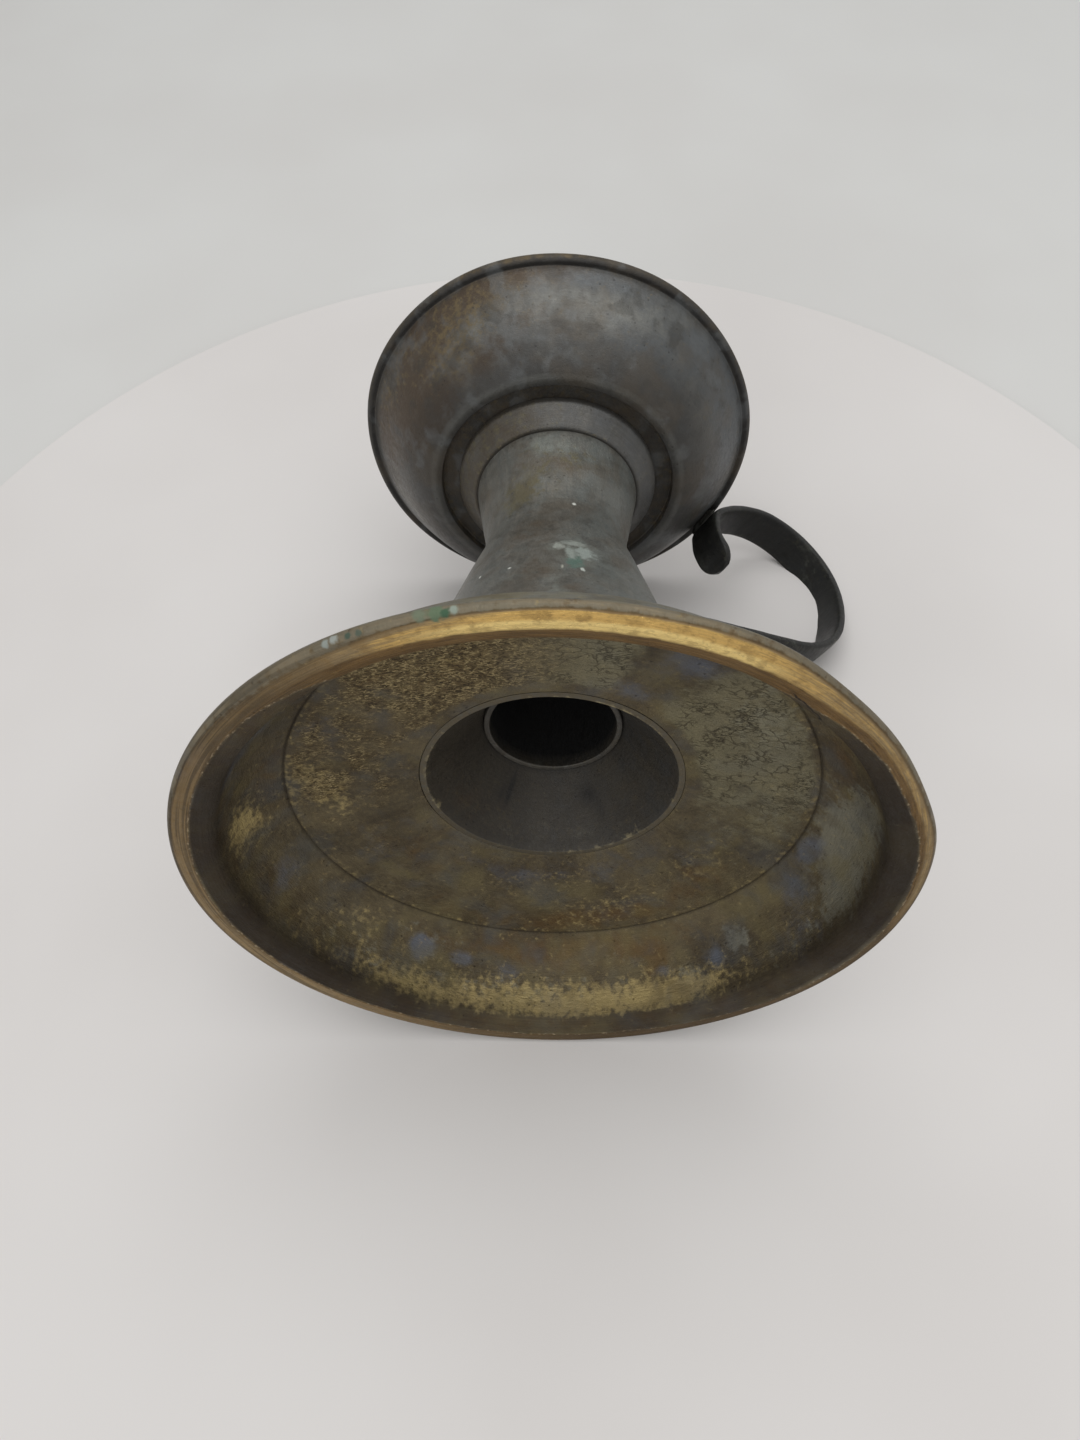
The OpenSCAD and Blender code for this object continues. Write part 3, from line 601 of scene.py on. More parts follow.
ridges = maths(tree, "MULTIPLY", wrinkle((760.0, 2300.0, 1200.0), 2.0, 0.07), patchy(600.0, 0.38, 0.52))
gaps = wrinkle((700.0, 2000.0, 1000.0), 3.0, 0.07)
warp = add(tree, "TexNoise", {"Vector": brush, "Scale": 420.0, "Detail": 3.0}).outputs[1]
warped = add(tree, "VectorMath", {0: warp, 1: (0.003,) * 3, 2: brush}, operation="MULTIPLY_ADD")
cells = add(tree, "VectorMath", {0: warped.outputs[0], 1: (290.0, 640.0, 400.0)}, operation="MULTIPLY")
cells = add(tree, "TexVoronoi", {"Vector": cells.outputs[0], "Scale": 1.0}, feature="DISTANCE_TO_EDGE")
cracks = steps(tree, cells.outputs["Distance"], 0.08, 0.015)
cracks = maths(tree, "MULTIPLY", cracks, patchy(260.0, 0.4, 0.55))
fine = maths(tree, "MULTIPLY", gaps, patchy(190.0, 0.5, 0.6))
left = maths(tree, "MULTIPLY", crazed, maths(tree, "SUBTRACT", 1.0, right))
right = maths(tree, "MULTIPLY", crazed, right)
colour = over(tree, maths(tree, "MULTIPLY", right, 0.5), colour, tone(142, 136, 110))
colour = over(tree, maths(tree, "MULTIPLY", left, 0.5), colour, tone(106, 88, 58))
colour = over(tree, maths(tree, "MULTIPLY", left, maths(tree, "MULTIPLY", gaps, 0.9)), colour,
              tone(42, 34, 24))
colour = over(tree, maths(tree, "MULTIPLY", right, maths(tree, "MULTIPLY", fine, 0.8)), colour,
              tone(46, 40, 32))
colour = over(tree, maths(tree, "MULTIPLY", left, maths(tree, "MULTIPLY", ridges, 0.95)), colour,
              tone(178, 160, 118))
colour = over(tree, maths(tree, "MULTIPLY", maths(tree, "MAXIMUM", right, maths(
    tree, "MULTIPLY", left, 0.3)), maths(tree, "MULTIPLY", cracks, 0.65)), colour, tone(50, 42, 32))
turn = add(tree, "SeparateXYZ", {0: place}).outputs
flat = add(tree, "CombineXYZ", {0: turn[0], 1: turn[1]}).outputs[0]
radius = add(tree, "VectorMath", {0: flat}, operation="LENGTH").outputs["Value"]
turn = maths(tree, "ARCTAN2", turn[1], turn[0])
crack_start, crack_end = np.radians(-88), np.radians(-58)
crack_run = maths(tree, "MULTIPLY_ADD", turn, -8.0 * mm / (crack_end - crack_start),
                  (60.0 + 8.0 * crack_start / (crack_end - crack_start)) * mm)
shiver = add(tree, "TexNoise", {"Vector": place, "Scale": 260.0, "Detail": 4.0}).outputs[0]
crack_run = maths(tree, "MULTIPLY_ADD", maths(tree, "SUBTRACT", shiver, 0.5), 3.0 * mm, crack_run)
crack = maths(tree, "ABSOLUTE", maths(tree, "SUBTRACT", radius, crack_run))
crack = maths(tree, "MULTIPLY", steps(tree, crack, 0.2 * mm, 0.08 * mm),
              maths(tree, "MULTIPLY", steps(tree, turn, crack_start, crack_start + 0.05),
                    steps(tree, turn, crack_end, crack_end - 0.1)))
crack = maths(tree, "MULTIPLY", crack, steps(tree, rim["Alpha"], 0.02, 0.08))
colour = over(tree, maths(tree, "MULTIPLY", crack, 0.95), colour, tone(30, 26, 22))
tree.links.new(colour, shader.inputs["Base Color"])
relief = maths(tree, "SUBTRACT", maths(tree, "MULTIPLY", left, ridges),
               maths(tree, "MULTIPLY", crazed, maths(tree, "MAXIMUM", cracks, gaps)))
first_bump = shader.inputs["Normal"].links[0].from_socket
bump = add(tree, "Bump", {"Height": relief, "Strength": 0.6, "Distance": 0.2 * mm,
                          "Normal": first_bump})
tree.links.new(bump.outputs[0], shader.inputs["Normal"])
for azimuth, height, reach, tint in (
    (-135.6, 0.7, 1.7, tone(96, 112, 88)), (-137.6, 0.9, 1.4, tone(108, 116, 96)),
    (-134.4, 0.2, 1.1, tone(64, 92, 70)), (-133.3, 0.6, 0.9, tone(140, 150, 138)),
    (-149.0, 0.7, 0.9, tone(150, 154, 148)), (-150.3, 0.5, 0.9, tone(140, 146, 140)),
    (-147.0, 0.4, 0.7, tone(70, 84, 72)), (-145.6, 0.3, 0.8, tone(84, 92, 80)),
):
    crusted(base_brass, on_turned(azimuth, 65.3, height), (reach,) * 3, tint, 0.05, 0.6)
base.data.materials.append(base_brass)
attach(base, "root")
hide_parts("base_dish")


# ---------------------------------------------------------------------------
# Foot funnel. Spun brass cone that closes the hole of the base. Its spigot sits
# in the hole, its flange lies on the shelf and its neck grips the candle tube.
# It is smooth and dark, with runs of old polish below the tube.

mouth_r, spigot_r, neck_r, neck_z = 23.6, 24.8, 13.6, 35.4
funnel_outline = eased([
    (mouth_r, hole_z), (spigot_r, hole_z), (spigot_r, seat_z), (27.8, seat_z), (27.8, 23.8),
    (spigot_r, 23.8), (14.8, 36.0), (14.8, 41.9), (neck_r, 41.9), (neck_r, neck_z),
], ease=0.12)
funnel, a, r, z = turned("funnel", funnel_outline, 360)
runs = [(88, 17, 30.6, 0.55, 3.2, 1.3), (93, 18, 29.5, 0.5, 1.6, 0.7), (33, 17.2, 30.2, 2.0, 2.0, 0.9),
        (28, 19.5, 27, 1.2, 2.5, 0.5), (60, 23.0, 23.0, 16, 1.2, 0.2)]
haze = [(111, 20.4, 26, 9, 5, 0.7), (60, 21.5, 24.5, 14, 3, 0.6), (10, 21, 25, 6, 4, 0.3)]
end_face = between(z, hole_z + 0.2, hole_z) * between(r, 23.5, 23.7)
mouth = between(np.hypot(r - mouth_r, z - hole_z), 0.5, 0.2)
marked(
    funnel, "film",
    0.35 * spots(a, r, z, haze) + 0.6 * end_face, 0.3 + 0.2 * np.cos(a - np.radians(-60)) - 0.5 * end_face,
    0.35 * spots(a, r, z, [(60, 21.5, 24, 20, 3, 0.8)]) + 0.8 * end_face,
    0.7 * spots(a, r, z, haze[:1]) + 0.3 * end_face,
)
marked(
    funnel, "wear_and_shade",
    mouth * (0.25 + 0.12 * np.sin(3 * a)), 0.15 + 0 * a, 0 * a,
    0.85 * np.clip(spots(a, r, z, runs), 0, 1) + 0.3 * between(np.abs(round_gap(a, 75)), 90, 20) + 0.5 * between(r, 14.6, 13.7) * (z > 34),
)
funnel_brass = old_brass(
    "funnel brass",
    dict(dark=tone(54, 49, 42), light=tone(71, 65, 55), ochre=tone(88, 77, 55),
         blue=tone(64, 65, 66), pale=tone(92, 88, 77), brown=tone(66, 53, 40),
         worn=tone(172, 160, 126), grime_and_shade=tone(28, 25, 22)),
    slant=-1.0, streaks=(2.5, 50.0), metal=0.35, rough=0.46, relief=0.05,
)
funnel.data.materials.append(funnel_brass)
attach(funnel, "root")
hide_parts("foot_funnel")


# ---------------------------------------------------------------------------
# Candle tube with its stop, its mouth ring and the ring that holds the bowl
# down. Drawn brass tube with painted shade deep inside, darkest away from both ends; the
# rings are turned and brazed to it.

bore_r, tube_r, tube_low_z, tube_top_z = 12.35, 13.5, 34.5, 133.5
groove_r, groove_low_z, groove_top_z = 12.75, 104.8, 106.6
tube_outline = eased([
    (bore_r, tube_low_z), (tube_r, tube_low_z), (tube_r, tube_top_z), (bore_r, tube_top_z),
    (bore_r, groove_top_z), (groove_r, groove_top_z), (groove_r, groove_low_z), (bore_r, groove_low_z),
], ease=0.3, longest=3)
tube, a, r, z = turned("tube", tube_outline, 240)
# Painted shade: the bore goes nearly black, fading out towards both of its ends.
inside = (r < bore_r + 0.05) * between(z, tube_low_z, tube_low_z + 2) * between(z, 133.4, 124)
marked(tube, "film", 0.3 * between(z, 110, 133), 0.35 + 0 * a, 0.25 * between(z, 34.9, 34.6), 0.3 + 0 * a)
marked(tube, "wear_and_shade", 0.35 * between(z, 132.8, 133.3), 0.3 + 0 * a, 0 * a, inside * 0.96)
tube_tints = dict(
    dark=tone(60, 57, 53), light=tone(86, 81, 71), ochre=tone(112, 98, 66), blue=tone(74, 74, 73),
    pale=tone(94, 92, 88), brown=tone(66, 54, 38), worn=tone(206, 182, 126), grime_and_shade=tone(9, 9, 10),
)
tube_brass = old_brass(
    "tube brass", tube_tints, slant=1.0, streaks=(2.0, 40.0), metal=0.4, rough=0.5, relief=0.06
)
tube.data.materials.append(tube_brass)
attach(tube, "root")
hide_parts("candle_tube")

ring_outlines = {
    "mouth_ring": [(13.6, 131.1), (15.0, 131.1), (15.0, 133.5), (13.6, 133.5)],
    "bowl_hold_ring": [(13.6, 112.4), (17.6, 112.4), (17.6, 114.2), (13.6, 114.2)],
    "candle_stop": [(7.0, 104.9), (12.65, 104.9), (12.65, 106.5), (7.0, 106.5)],
}
for node, corners in ring_outlines.items():
    ring, a, r, z = turned("turned_" + node, eased(corners, ease=0.4), 200)
    edge = between(r, np.max(r) - 0.5, np.max(r)) * between(z, np.max(z) - 0.5, np.max(z))
    marked(ring, "film", 0.4 + 0 * a, 0.2 + 0 * a, 0.2 + 0 * a, 0.3 + 0.2 * np.sin(3 * a))
    marked(ring, "wear_and_shade", 0.45 * edge, 0.4 + 0 * a, 0 * a, 0.3 * between(z, 113.2, 112.6))
    ring.data.materials.append(tube_brass)
    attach(ring, "root")
    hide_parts(node)


# ---------------------------------------------------------------------------
# Stem. A waisted shell turned from a casting: a long lower cone, a soft waist and
# a short upper cone. Grey tarnish with brown streaks along it and a spot of
# verdigris on the side that the photograph shows.

stem_foot_r, waist_r, waist_z, stem_top_r, stem_top_z = 34.0, 15.1, 84.9, 18.7, 105.5
lower_slope, upper_slope = (stem_foot_r - waist_r) / 62.3, (stem_top_r - waist_r) / 20.6
blend_z = 26 * np.tan((np.arctan(lower_slope) + np.arctan(upper_slope)) / 2)
waist = bend((waist_r + lower_slope * blend_z, waist_z - blend_z), (waist_r, waist_z),
             (waist_r + upper_slope * blend_z, waist_z + blend_z), 12)
stem_outline = eased(np.concatenate([
    [(stem_foot_r, seat_z)], waist,
    [(stem_top_r, stem_top_z), (stem_top_r - 1.5, stem_top_z), (13.6, waist_z),
     (stem_foot_r - 1.5, seat_z)],
]), ease=0.5, longest=2)


def stem_sway(a, r, z):
    """The cones are turned by hand: they run out by a tenth of a millimetre."""
    return 0.10 * np.sin(2 * a + z / 22) + 0.05 * np.sin(z / 3.5), 0 * a


stem, a, r, z = turned("stem", stem_outline, 360, stem_sway)
bloom_rows = [
    (-112, 22.5, 60, 6, 7, 0.8), (-134, 17.9, 101.5, 3, 3, 0.8), (-118, 17.9, 101, 3, 3, 0.6),
    (-95, 17.5, 99, 5, 4, 0.35), (-140, 25, 50, 6, 7, 0.35), (-93, 25, 52, 4, 12, 0.35),
    (-121, 26, 47, 2, 10, 0.5), (-104, 22, 62, 4, 6, 0.4),
    (60, 22, 60, 9, 14, 0.5), (10, 26, 45, 10, 10, 0.5), (150, 24, 52, 6, 10, 0.45),
]
brown_rows = [
    (-135, 18.5, 72, 5, 9, 0.85), (-129, 24, 53, 5, 8, 0.75), (-112, 26.5, 46, 3, 6, 0.55),
    (-122, 17, 96, 8, 6, 0.6), (-95, 17.5, 97, 6, 6, 0.35), (-150, 17.5, 98, 6, 6, 0.4), (100, 20, 68, 7, 14, 0.6), (20, 19, 78, 5, 16, 0.5),
    (-40, 23, 57, 5, 12, 0.35), (170, 17, 90, 5, 14, 0.4),
]
olive_rows = [
    (-156, 16.2, 88, 5, 5, 0.75), (-142, 16.9, 93, 4, 7, 0.4), (-112, 17.4, 97, 7, 4, 0.4), (75, 17, 92, 6, 9, 0.5),
    (-15, 26, 46, 9, 8, 0.4), (-100, 31, 30, 30, 6, 0.4), (80, 31, 30, 30, 6, 0.5),
]
marked(
    stem, "film",
    spots(a, r, z, olive_rows), 0.42 + 0.25 * between(np.abs(round_gap(a, -70)), 50, 20),
    spots(a, r, z, bloom_rows), spots(a, r, z, brown_rows),
)
marked(
    stem, "wear_and_shade",
    0.12 * between(z, 104.4, 105.2), 0.1 + 0 * a, 0 * a,
    0.7 * between(z, 104.8, 105.4) * (r > 18) + 0.6 * between(z, seat_z + 0.8, seat_z),
)
stem_tints = dict(
    dark=tone(91, 89, 84), light=tone(123, 119, 110), ochre=tone(104, 97, 70),
    blue=tone(102, 108, 106), pale=tone(138, 142, 134), brown=tone(92, 77, 60),
    worn=tone(196, 180, 140), grime_and_shade=tone(36, 34, 30),
)
stem_brass = old_brass(
    "stem brass", stem_tints, slant=-1.0, streaks=(6.0, 34.0), metal=0.45, rough=0.43, relief=0.1,
    pale_edge=(420.0, 2.0, 0.42),
)
smudged(stem_brass, (
    (110.0, 0.20, 0.44, 0.68, 0.50, tone(90, 80, 66)),
    (170.0, 0.47, 0.48, 0.70, 0.40, tone(120, 120, 115)),
    (240.0, 0.73, 0.48, 0.70, 0.45, tone(68, 65, 58)),
))
for azimuth, crust_r, crust_z, reach, tint in (
    (-112.5, 23.4, 56.5, (2.6, 2.6, 5.0), tone(84, 106, 96)),
    (-107.0, 22.2, 61.0, (2.9, 2.9, 4.4), tone(142, 150, 144)),
    (-114.5, 22.4, 60.0, (1.5, 1.5, 6.4), tone(138, 145, 138)),
    (-120.5, 21.7, 63.0, (1.8, 1.8, 2.2), tone(146, 150, 142)),
    (-112.0, 21.4, 64.6, (3.2, 3.2, 1.5), tone(138, 143, 136)),
    (-108.3, 16.0, 83.5, (0.7, 0.7, 0.7), tone(206, 208, 200)),
    (-143.4, 24.0, 55.5, (0.55, 0.55, 0.55), tone(206, 208, 200)),
    (-160.5, 23.5, 57.3, (0.45, 0.45, 0.9), tone(206, 208, 200)),
    (-109.5, 24.6, 53.6, (0.7, 0.7, 1.3), tone(186, 192, 184)),
    (-118.6, 24.4, 52.5, (0.4, 0.4, 3.6), tone(160, 160, 148)),
):
    crusted(stem_brass, on_turned(azimuth, crust_r, crust_z), reach, tint, 0.02, 0.65)
stem.data.materials.append(stem_brass)
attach(stem, "root")
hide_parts("stem_shell")


# ---------------------------------------------------------------------------
# Collar. A turned cone that spreads from the top of the stem to the floor of
# the bowl. Grey, with black grime in the joint below it and painted shade in the deep
# groove above it, under the floor of the bowl.

collar_outline = eased([(13.6, 105.5), (19.3, 105.5), (23.2, 109.7), (23.2, 111.6), (13.6, 111.6)],
                       ease=0.5, longest=1)
collar, a, r, z = turned("collar", collar_outline, 360)
brown_side = between(np.abs(round_gap(a, 170)), 90, 30)
marked(collar, "film", 0.25 * brown_side, 0.55 - 0.4 * brown_side, 0.3 * (1 - brown_side), 0.6 * brown_side)
# Painted shade on the upper part of the collar, in the groove under the bowl, and grime on the faces hidden against
# the stem and the bowl.
marked(
    collar, "wear_and_shade",
    0.14 * between(z, 105.9, 105.5) * between(r, 18.6, 19), 0.2 + 0 * a, 0 * a,
    0.6 * between(z, 109.7, 110.2) + 0.7 * between(r, 19.1, 18.9),
)
collar_brass = old_brass(
    "collar brass",
    dict(stem_tints, dark=tone(78, 76, 72), light=tone(100, 97, 91), blue=tone(88, 90, 92),
         brown=tone(76, 66, 53), pale=tone(112, 110, 105), grime_and_shade=tone(46, 42, 37)),
    slant=1.0, streaks=(3.0, 40.0), metal=0.45, rough=0.45, relief=0.06,
)
collar.data.materials.append(collar_brass)
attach(collar, "root")
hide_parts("collar")


# ---------------------------------------------------------------------------
# Bowl. Spun sheet brass: a lip under the recessed floor, a full belly and a rim
# rolled over a wire. Brown on one side and grey on the other, with mottled pale
# bloom where it faces up, and the rim rubbed to brown brass.

lip_in_r, lip_out_r, lip_z, floor_z, sheet = 27.2, 28.8, 109.6, 111.6, 0.8
roll_x, roll_z, roll_r = 45.95, 129.25, 1.25
belly = bend((lip_out_r, lip_z), (35.3, 111.4), (roll_x - 0.2, roll_z), 34)
belly_way = np.gradient(belly, axis=0)
belly_way /= np.linalg.norm(belly_way, axis=1)[:, None]
hollow = belly + sheet * belly_way[:, ::-1] * (-1, 1)
belly = belly[np.hypot(*(belly - (roll_x, roll_z)).T) > roll_r + 0.1]
hollow = hollow[(hollow[:, 1] > floor_z + sheet + 0.3) & (hollow[:, 1] < roll_z - 0.6)]
roll_angles = np.radians(np.linspace(-84, 205, 22))
roll = np.stack([roll_x + roll_r * np.cos(roll_angles), roll_z + roll_r * np.sin(roll_angles)], 1)
bowl_outline = eased(np.concatenate([
    [(13.6, floor_z), (lip_in_r, floor_z), (lip_in_r, lip_z)],
    belly, roll, hollow[::-1], [(13.6, floor_z + sheet)],
]), ease=0.35)


def bowl_sway(a, r, z):
    """The rim is a little out of round, and the sheet shows faint flats from its raising."""
    out = between(r, 30, 46)
    return out * (0.18 * np.sin(2 * a + 0.6) + 0.08 * np.sin(7 * a)), 0.12 * out * np.sin(3 * a)


bowl, a, r, z = turned("bowl", bowl_outline, 420, bowl_sway)
on_roll = np.hypot(r - roll_x, z - roll_z) < roll_r + 0.05
rim_gold = 0.4 * between(np.abs(round_gap(a, -137)), 34, 12) + 0.12
bowl_bloom = [
    (-108, 39.0, 118.8, 7, 4.5, 0.62), (-97, 42, 122, 10, 4, 0.45), (-121, 42, 122.5, 7, 4, 0.5),
    (-137, 41, 121.6, 6, 4, 0.55), (-150, 40, 119.5, 6, 4, 0.6), (-160, 36, 115, 4, 5, 0.6),
    (-88, 42, 123, 12, 6, 0.4), (-122, 33.5, 113, 16, 2, 0.3), (-170, 38, 117, 4, 3, 0.4),
    (60, 42, 121, 18, 5, 0.5), (20, 40, 118, 12, 6, 0.5), (130, 41, 120, 14, 5, 0.45),
]
bowl_blue = [
    (-60, 43, 124, 18, 7, 0.9), (-35, 44, 125, 14, 8, 0.9), (-90, 38, 117, 14, 6, 0.6),
    (-110, 44, 126, 16, 3, 0.7), (-5, 42, 121, 14, 8, 0.7), (-75, 32, 112, 20, 3, 0.5),
    (90, 38, 117, 20, 8, 0.3),
]
bowl_brown = [
    (175, 32, 112, 9, 5, 1.0), (-172, 38, 118, 12, 6, 0.85), (165, 39, 119.5, 12, 7, 0.8),
    (-152, 35, 114.5, 9, 4, 0.8), (-160, 43.5, 125, 18, 5, 0.85), (150, 42, 122, 14, 6, 0.6),
    (-135, 39, 119, 10, 4, 0.4), (40, 36, 115, 16, 7, 0.5), (100, 42, 123, 14, 6, 0.4),
    (-128, 44.5, 127, 26, 3, 0.6),
]
bowl_ochre = [
    (168, 43.5, 124, 12, 5, 0.3), (-150, 43, 124.5, 16, 5, 0.45), (-160, 38, 117.5, 10, 6, 0.45),
    (70, 39, 118, 12, 5, 0.35),
]
outer_skin = z < np.interp(r, belly[:, 0], belly[:, 1]) + 0.3
lip_edge = between(r, 28.2, 28.6) * between(z, 110.3, 109.9) * (z < 110.6)
marked(
    bowl, "film",
    (spots(a, r, z, bowl_ochre) + 0.4 * on_roll) * (outer_skin | on_roll) + 0.3 * ~outer_skin,
    spots(a, r, z, bowl_blue) * outer_skin,
    (spots(a, r, z, bowl_bloom) + 0.7 * lip_edge) * outer_skin * ~on_roll,
    spots(a, r, z, bowl_brown) + 0.35 * on_roll * rim_gold + 0.35 * ~outer_skin,
)
# A painted shadow line just under the rolled rim.
roll_shadow = np.exp(-(np.hypot(r - 45.6, z - 127.7) / 0.8) ** 2)
# The alpha paints shade that darkens the belly towards its bottom, the shadow line under the roll and the underside
# of the floor inside the lip; the roll itself is darkened too.
marked(
    bowl, "wear_and_shade",
    on_roll * rim_gold * between(np.degrees(np.arctan2(z - roll_z, r - roll_x)), -80, -30),
    0.03 + 0 * a, 0 * a,
    0.55 * between(z, 119, 110.8) * outer_skin + 0.78 * on_roll + 0.55 * roll_shadow
    + 0.6 * between(r, 27.0, 26.6) * (z < 112.0) * (z > 110),
)
bowl_brass = old_brass(
    "bowl brass",
    dict(dark=tone(68, 68, 66), light=tone(92, 90, 86), ochre=tone(112, 97, 67),
         blue=tone(84, 88, 91), pale=tone(126, 126, 121), brown=tone(74, 58, 40),
         worn=tone(170, 143, 94), grime_and_shade=tone(30, 28, 26)),
    slant=1.0, streaks=(3.0, 30.0), metal=0.4, rough=0.41, relief=0.08,
    pale_edge=(240.0, 1.7, 0.5),
)
smudged(bowl_brass, (
    (75.0, 0.15, 0.50, 0.64, 0.40, tone(80, 70, 56)),
    (130.0, 0.41, 0.53, 0.66, 0.40, tone(102, 105, 106)),
    (190.0, 0.66, 0.53, 0.66, 0.45, tone(54, 52, 48)),
), swirl=0.25)
bowl.data.materials.append(bowl_brass)
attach(bowl, "root")
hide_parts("bowl")

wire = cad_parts["bowl_rim_wire"]
wire.data.materials.clear()
wire.data.materials.append(tube_brass)


# ---------------------------------------------------------------------------
# Handle. A brass strap bent into a loop, its edges rubbed round, with a free
# tongue that hangs from the rim of the bowl and swings out at its round end.
# Brazing metal joins it to the bowl under the rolled rim, and to the stem.

def swung(start, start_way, end, end_way, share, count=18):
    """Points (1-t)^3 P0 + 3t(1-t)^2 P1 + 3t^2(1-t) P2 + t^3 P3. P1 and P2 lie ahead of the
    start and behind the end by the given share of the distance between the two."""
    start, end = np.array(start), np.array(end)
    pull = share * np.linalg.norm(end - start)
    one, two = start + pull * np.array(start_way), end - pull * np.array(end_way)
    t = np.linspace(0, 1, count, endpoint=False)[:, None]
    return (1 - t) ** 3 * start + 3 * t * (1 - t) ** 2 * one + 3 * t**2 * (1 - t) * two + t**3 * end


def strap(name, line, width, thickness, root_width):
    """A strap. At the way s along its middle line, the section has the half width
    w = width / 2 cos(b)^(1/2), the half thickness t sin(b)^(1/2) and the angle b, so its
    corners are round. Over the last half width, w falls to sqrt(w^2 - s^2)."""
    way = np.gradient(line, axis=0)
    length = np.concatenate([[0], np.cumsum(np.linalg.norm(np.diff(line, axis=0), axis=1))])
    way /= np.linalg.norm(way, axis=1)[:, None]
    half = width / 2 + (root_width - width) / 2 * between(length, 9, 0)
    left = length[-1] - length
    half = half * np.sqrt(np.clip(1 - np.clip(1 - left / half, 0, 1) ** 2, 0.003, 1))
    thin = thickness / 2 * np.sqrt(np.clip(1 - np.clip(1 - left / 0.9, 0, 1) ** 2, 0.04, 1))
    b = np.linspace(0, 2 * np.pi, 28, endpoint=False)
    wide = np.sign(np.cos(b)) * np.abs(np.cos(b)) ** 0.42
    deep = np.sign(np.sin(b)) * np.abs(np.sin(b)) ** 0.42
    hammered = 0.05 * np.sin(length / 1.9)[:, None] + 0.04 * np.sin(length / 0.8 + 1)[:, None] - 0.09
    out = (thin[:, None] + hammered) * deep
    x = line[:, :1] - way[:, 1:] * out
    height = line[:, 1:] + way[:, :1] * out
    places = np.stack([x, half[:, None] * wide + 0 * x, height], -1) * mm
    rows, columns = x.shape
    faces = grid_faces(rows, columns, False, True).tolist()
    faces += [list(range(columns)), list(range((rows - 1) * columns, rows * columns))]
    piece = built(name, places, faces)
    whole = bmesh.new()
    whole.from_mesh(piece.data)
    bmesh.ops.recalc_face_normals(whole, faces=whole.faces)
    whole.to_mesh(piece.data)
    whole.free()
    corner = np.clip(1.6 * np.abs(wide * deep) ** 1.0 - 0.6, 0, 1) + 0 * x
    return piece, corner.ravel(), (length[:, None] + 0 * x).ravel(), (wide + 0 * x).ravel()


strap_t, strap_w = 2.4, 10.0
arm_root, arm_way = np.array((16.5, 75.4)), np.array((1, 0.275)) / np.hypot(1, 0.275)
arm_end = arm_root + arm_way * (66.5 - arm_root[0]) / arm_way[0]
loop_top = np.array(((roll_x + 86.8) / 2, 136.9))
loop_side = np.array((86.8, (arm_end[1] + loop_top[1]) / 2 + 2.9))
lean = np.radians(38.5)
pass_way = np.array((-np.sin(lean), -np.cos(lean)))
rim_pass = np.array((roll_x, roll_z)) + 2.65 * np.array((-pass_way[1], pass_way[0])) + 1.2 * pass_way
tongue_waist = np.array((roll_x - 0.4, roll_z - 9.8))
tongue_lean = np.radians(26.5)
tongue_way = np.array((np.sin(tongue_lean), -np.cos(tongue_lean)))
tongue_tip = np.array((tongue_waist[0] + 4.4, 109.9))
up, down, leftward = (0, 1), (0, -1), (-1, 0)
middle_line = np.concatenate([
    swung(arm_root, arm_way, arm_end, arm_way, 0.4, 26),
    swung(arm_end, arm_way, loop_side, up, 0.4),
    swung(loop_side, up, loop_top, leftward, 0.4),
    swung(loop_top, leftward, rim_pass, pass_way, 0.3),
    swung(rim_pass, pass_way, tongue_waist, down, 0.4, 12),
    swung(tongue_waist, down, tongue_tip, tongue_way, 0.4, 22),
    tongue_tip[None, :],
])
handle, corner, along, side = strap("handle", middle_line, strap_w, strap_t, strap_w)
patch = between(np.sin(along / 7.3) + np.sin(along / 3.1 + side * 2), 0.6, 1.6)
marked(handle, "film", 0.4 * corner, 0.35 + 0 * along, 0.3 * patch + 0.25 * corner, 0.3 * patch)
marked(handle, "wear_and_shade", 0.16 * corner, 0.1 + 0 * along, 0 * along,
       0.35 * between(np.abs(along - 122), 14, 4) + 0.25 * between(along, 6, 2))
strap_tints = dict(
    dark=tone(32, 32, 31), light=tone(48, 48, 46), ochre=tone(68, 66, 55), blue=tone(41, 43, 45),
    pale=tone(72, 74, 68), brown=tone(38, 34, 29), worn=tone(150, 148, 122), grime_and_shade=tone(22, 21, 20),
)
strap_brass = old_brass(
    "strap brass", strap_tints, slant=1.0, streaks=(8.0, 90.0), metal=0.35, rough=0.42, relief=0.12,
    gloss=0.3,
)
handle.data.materials.append(strap_brass)
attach(handle, "root")
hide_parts("handle_strap")


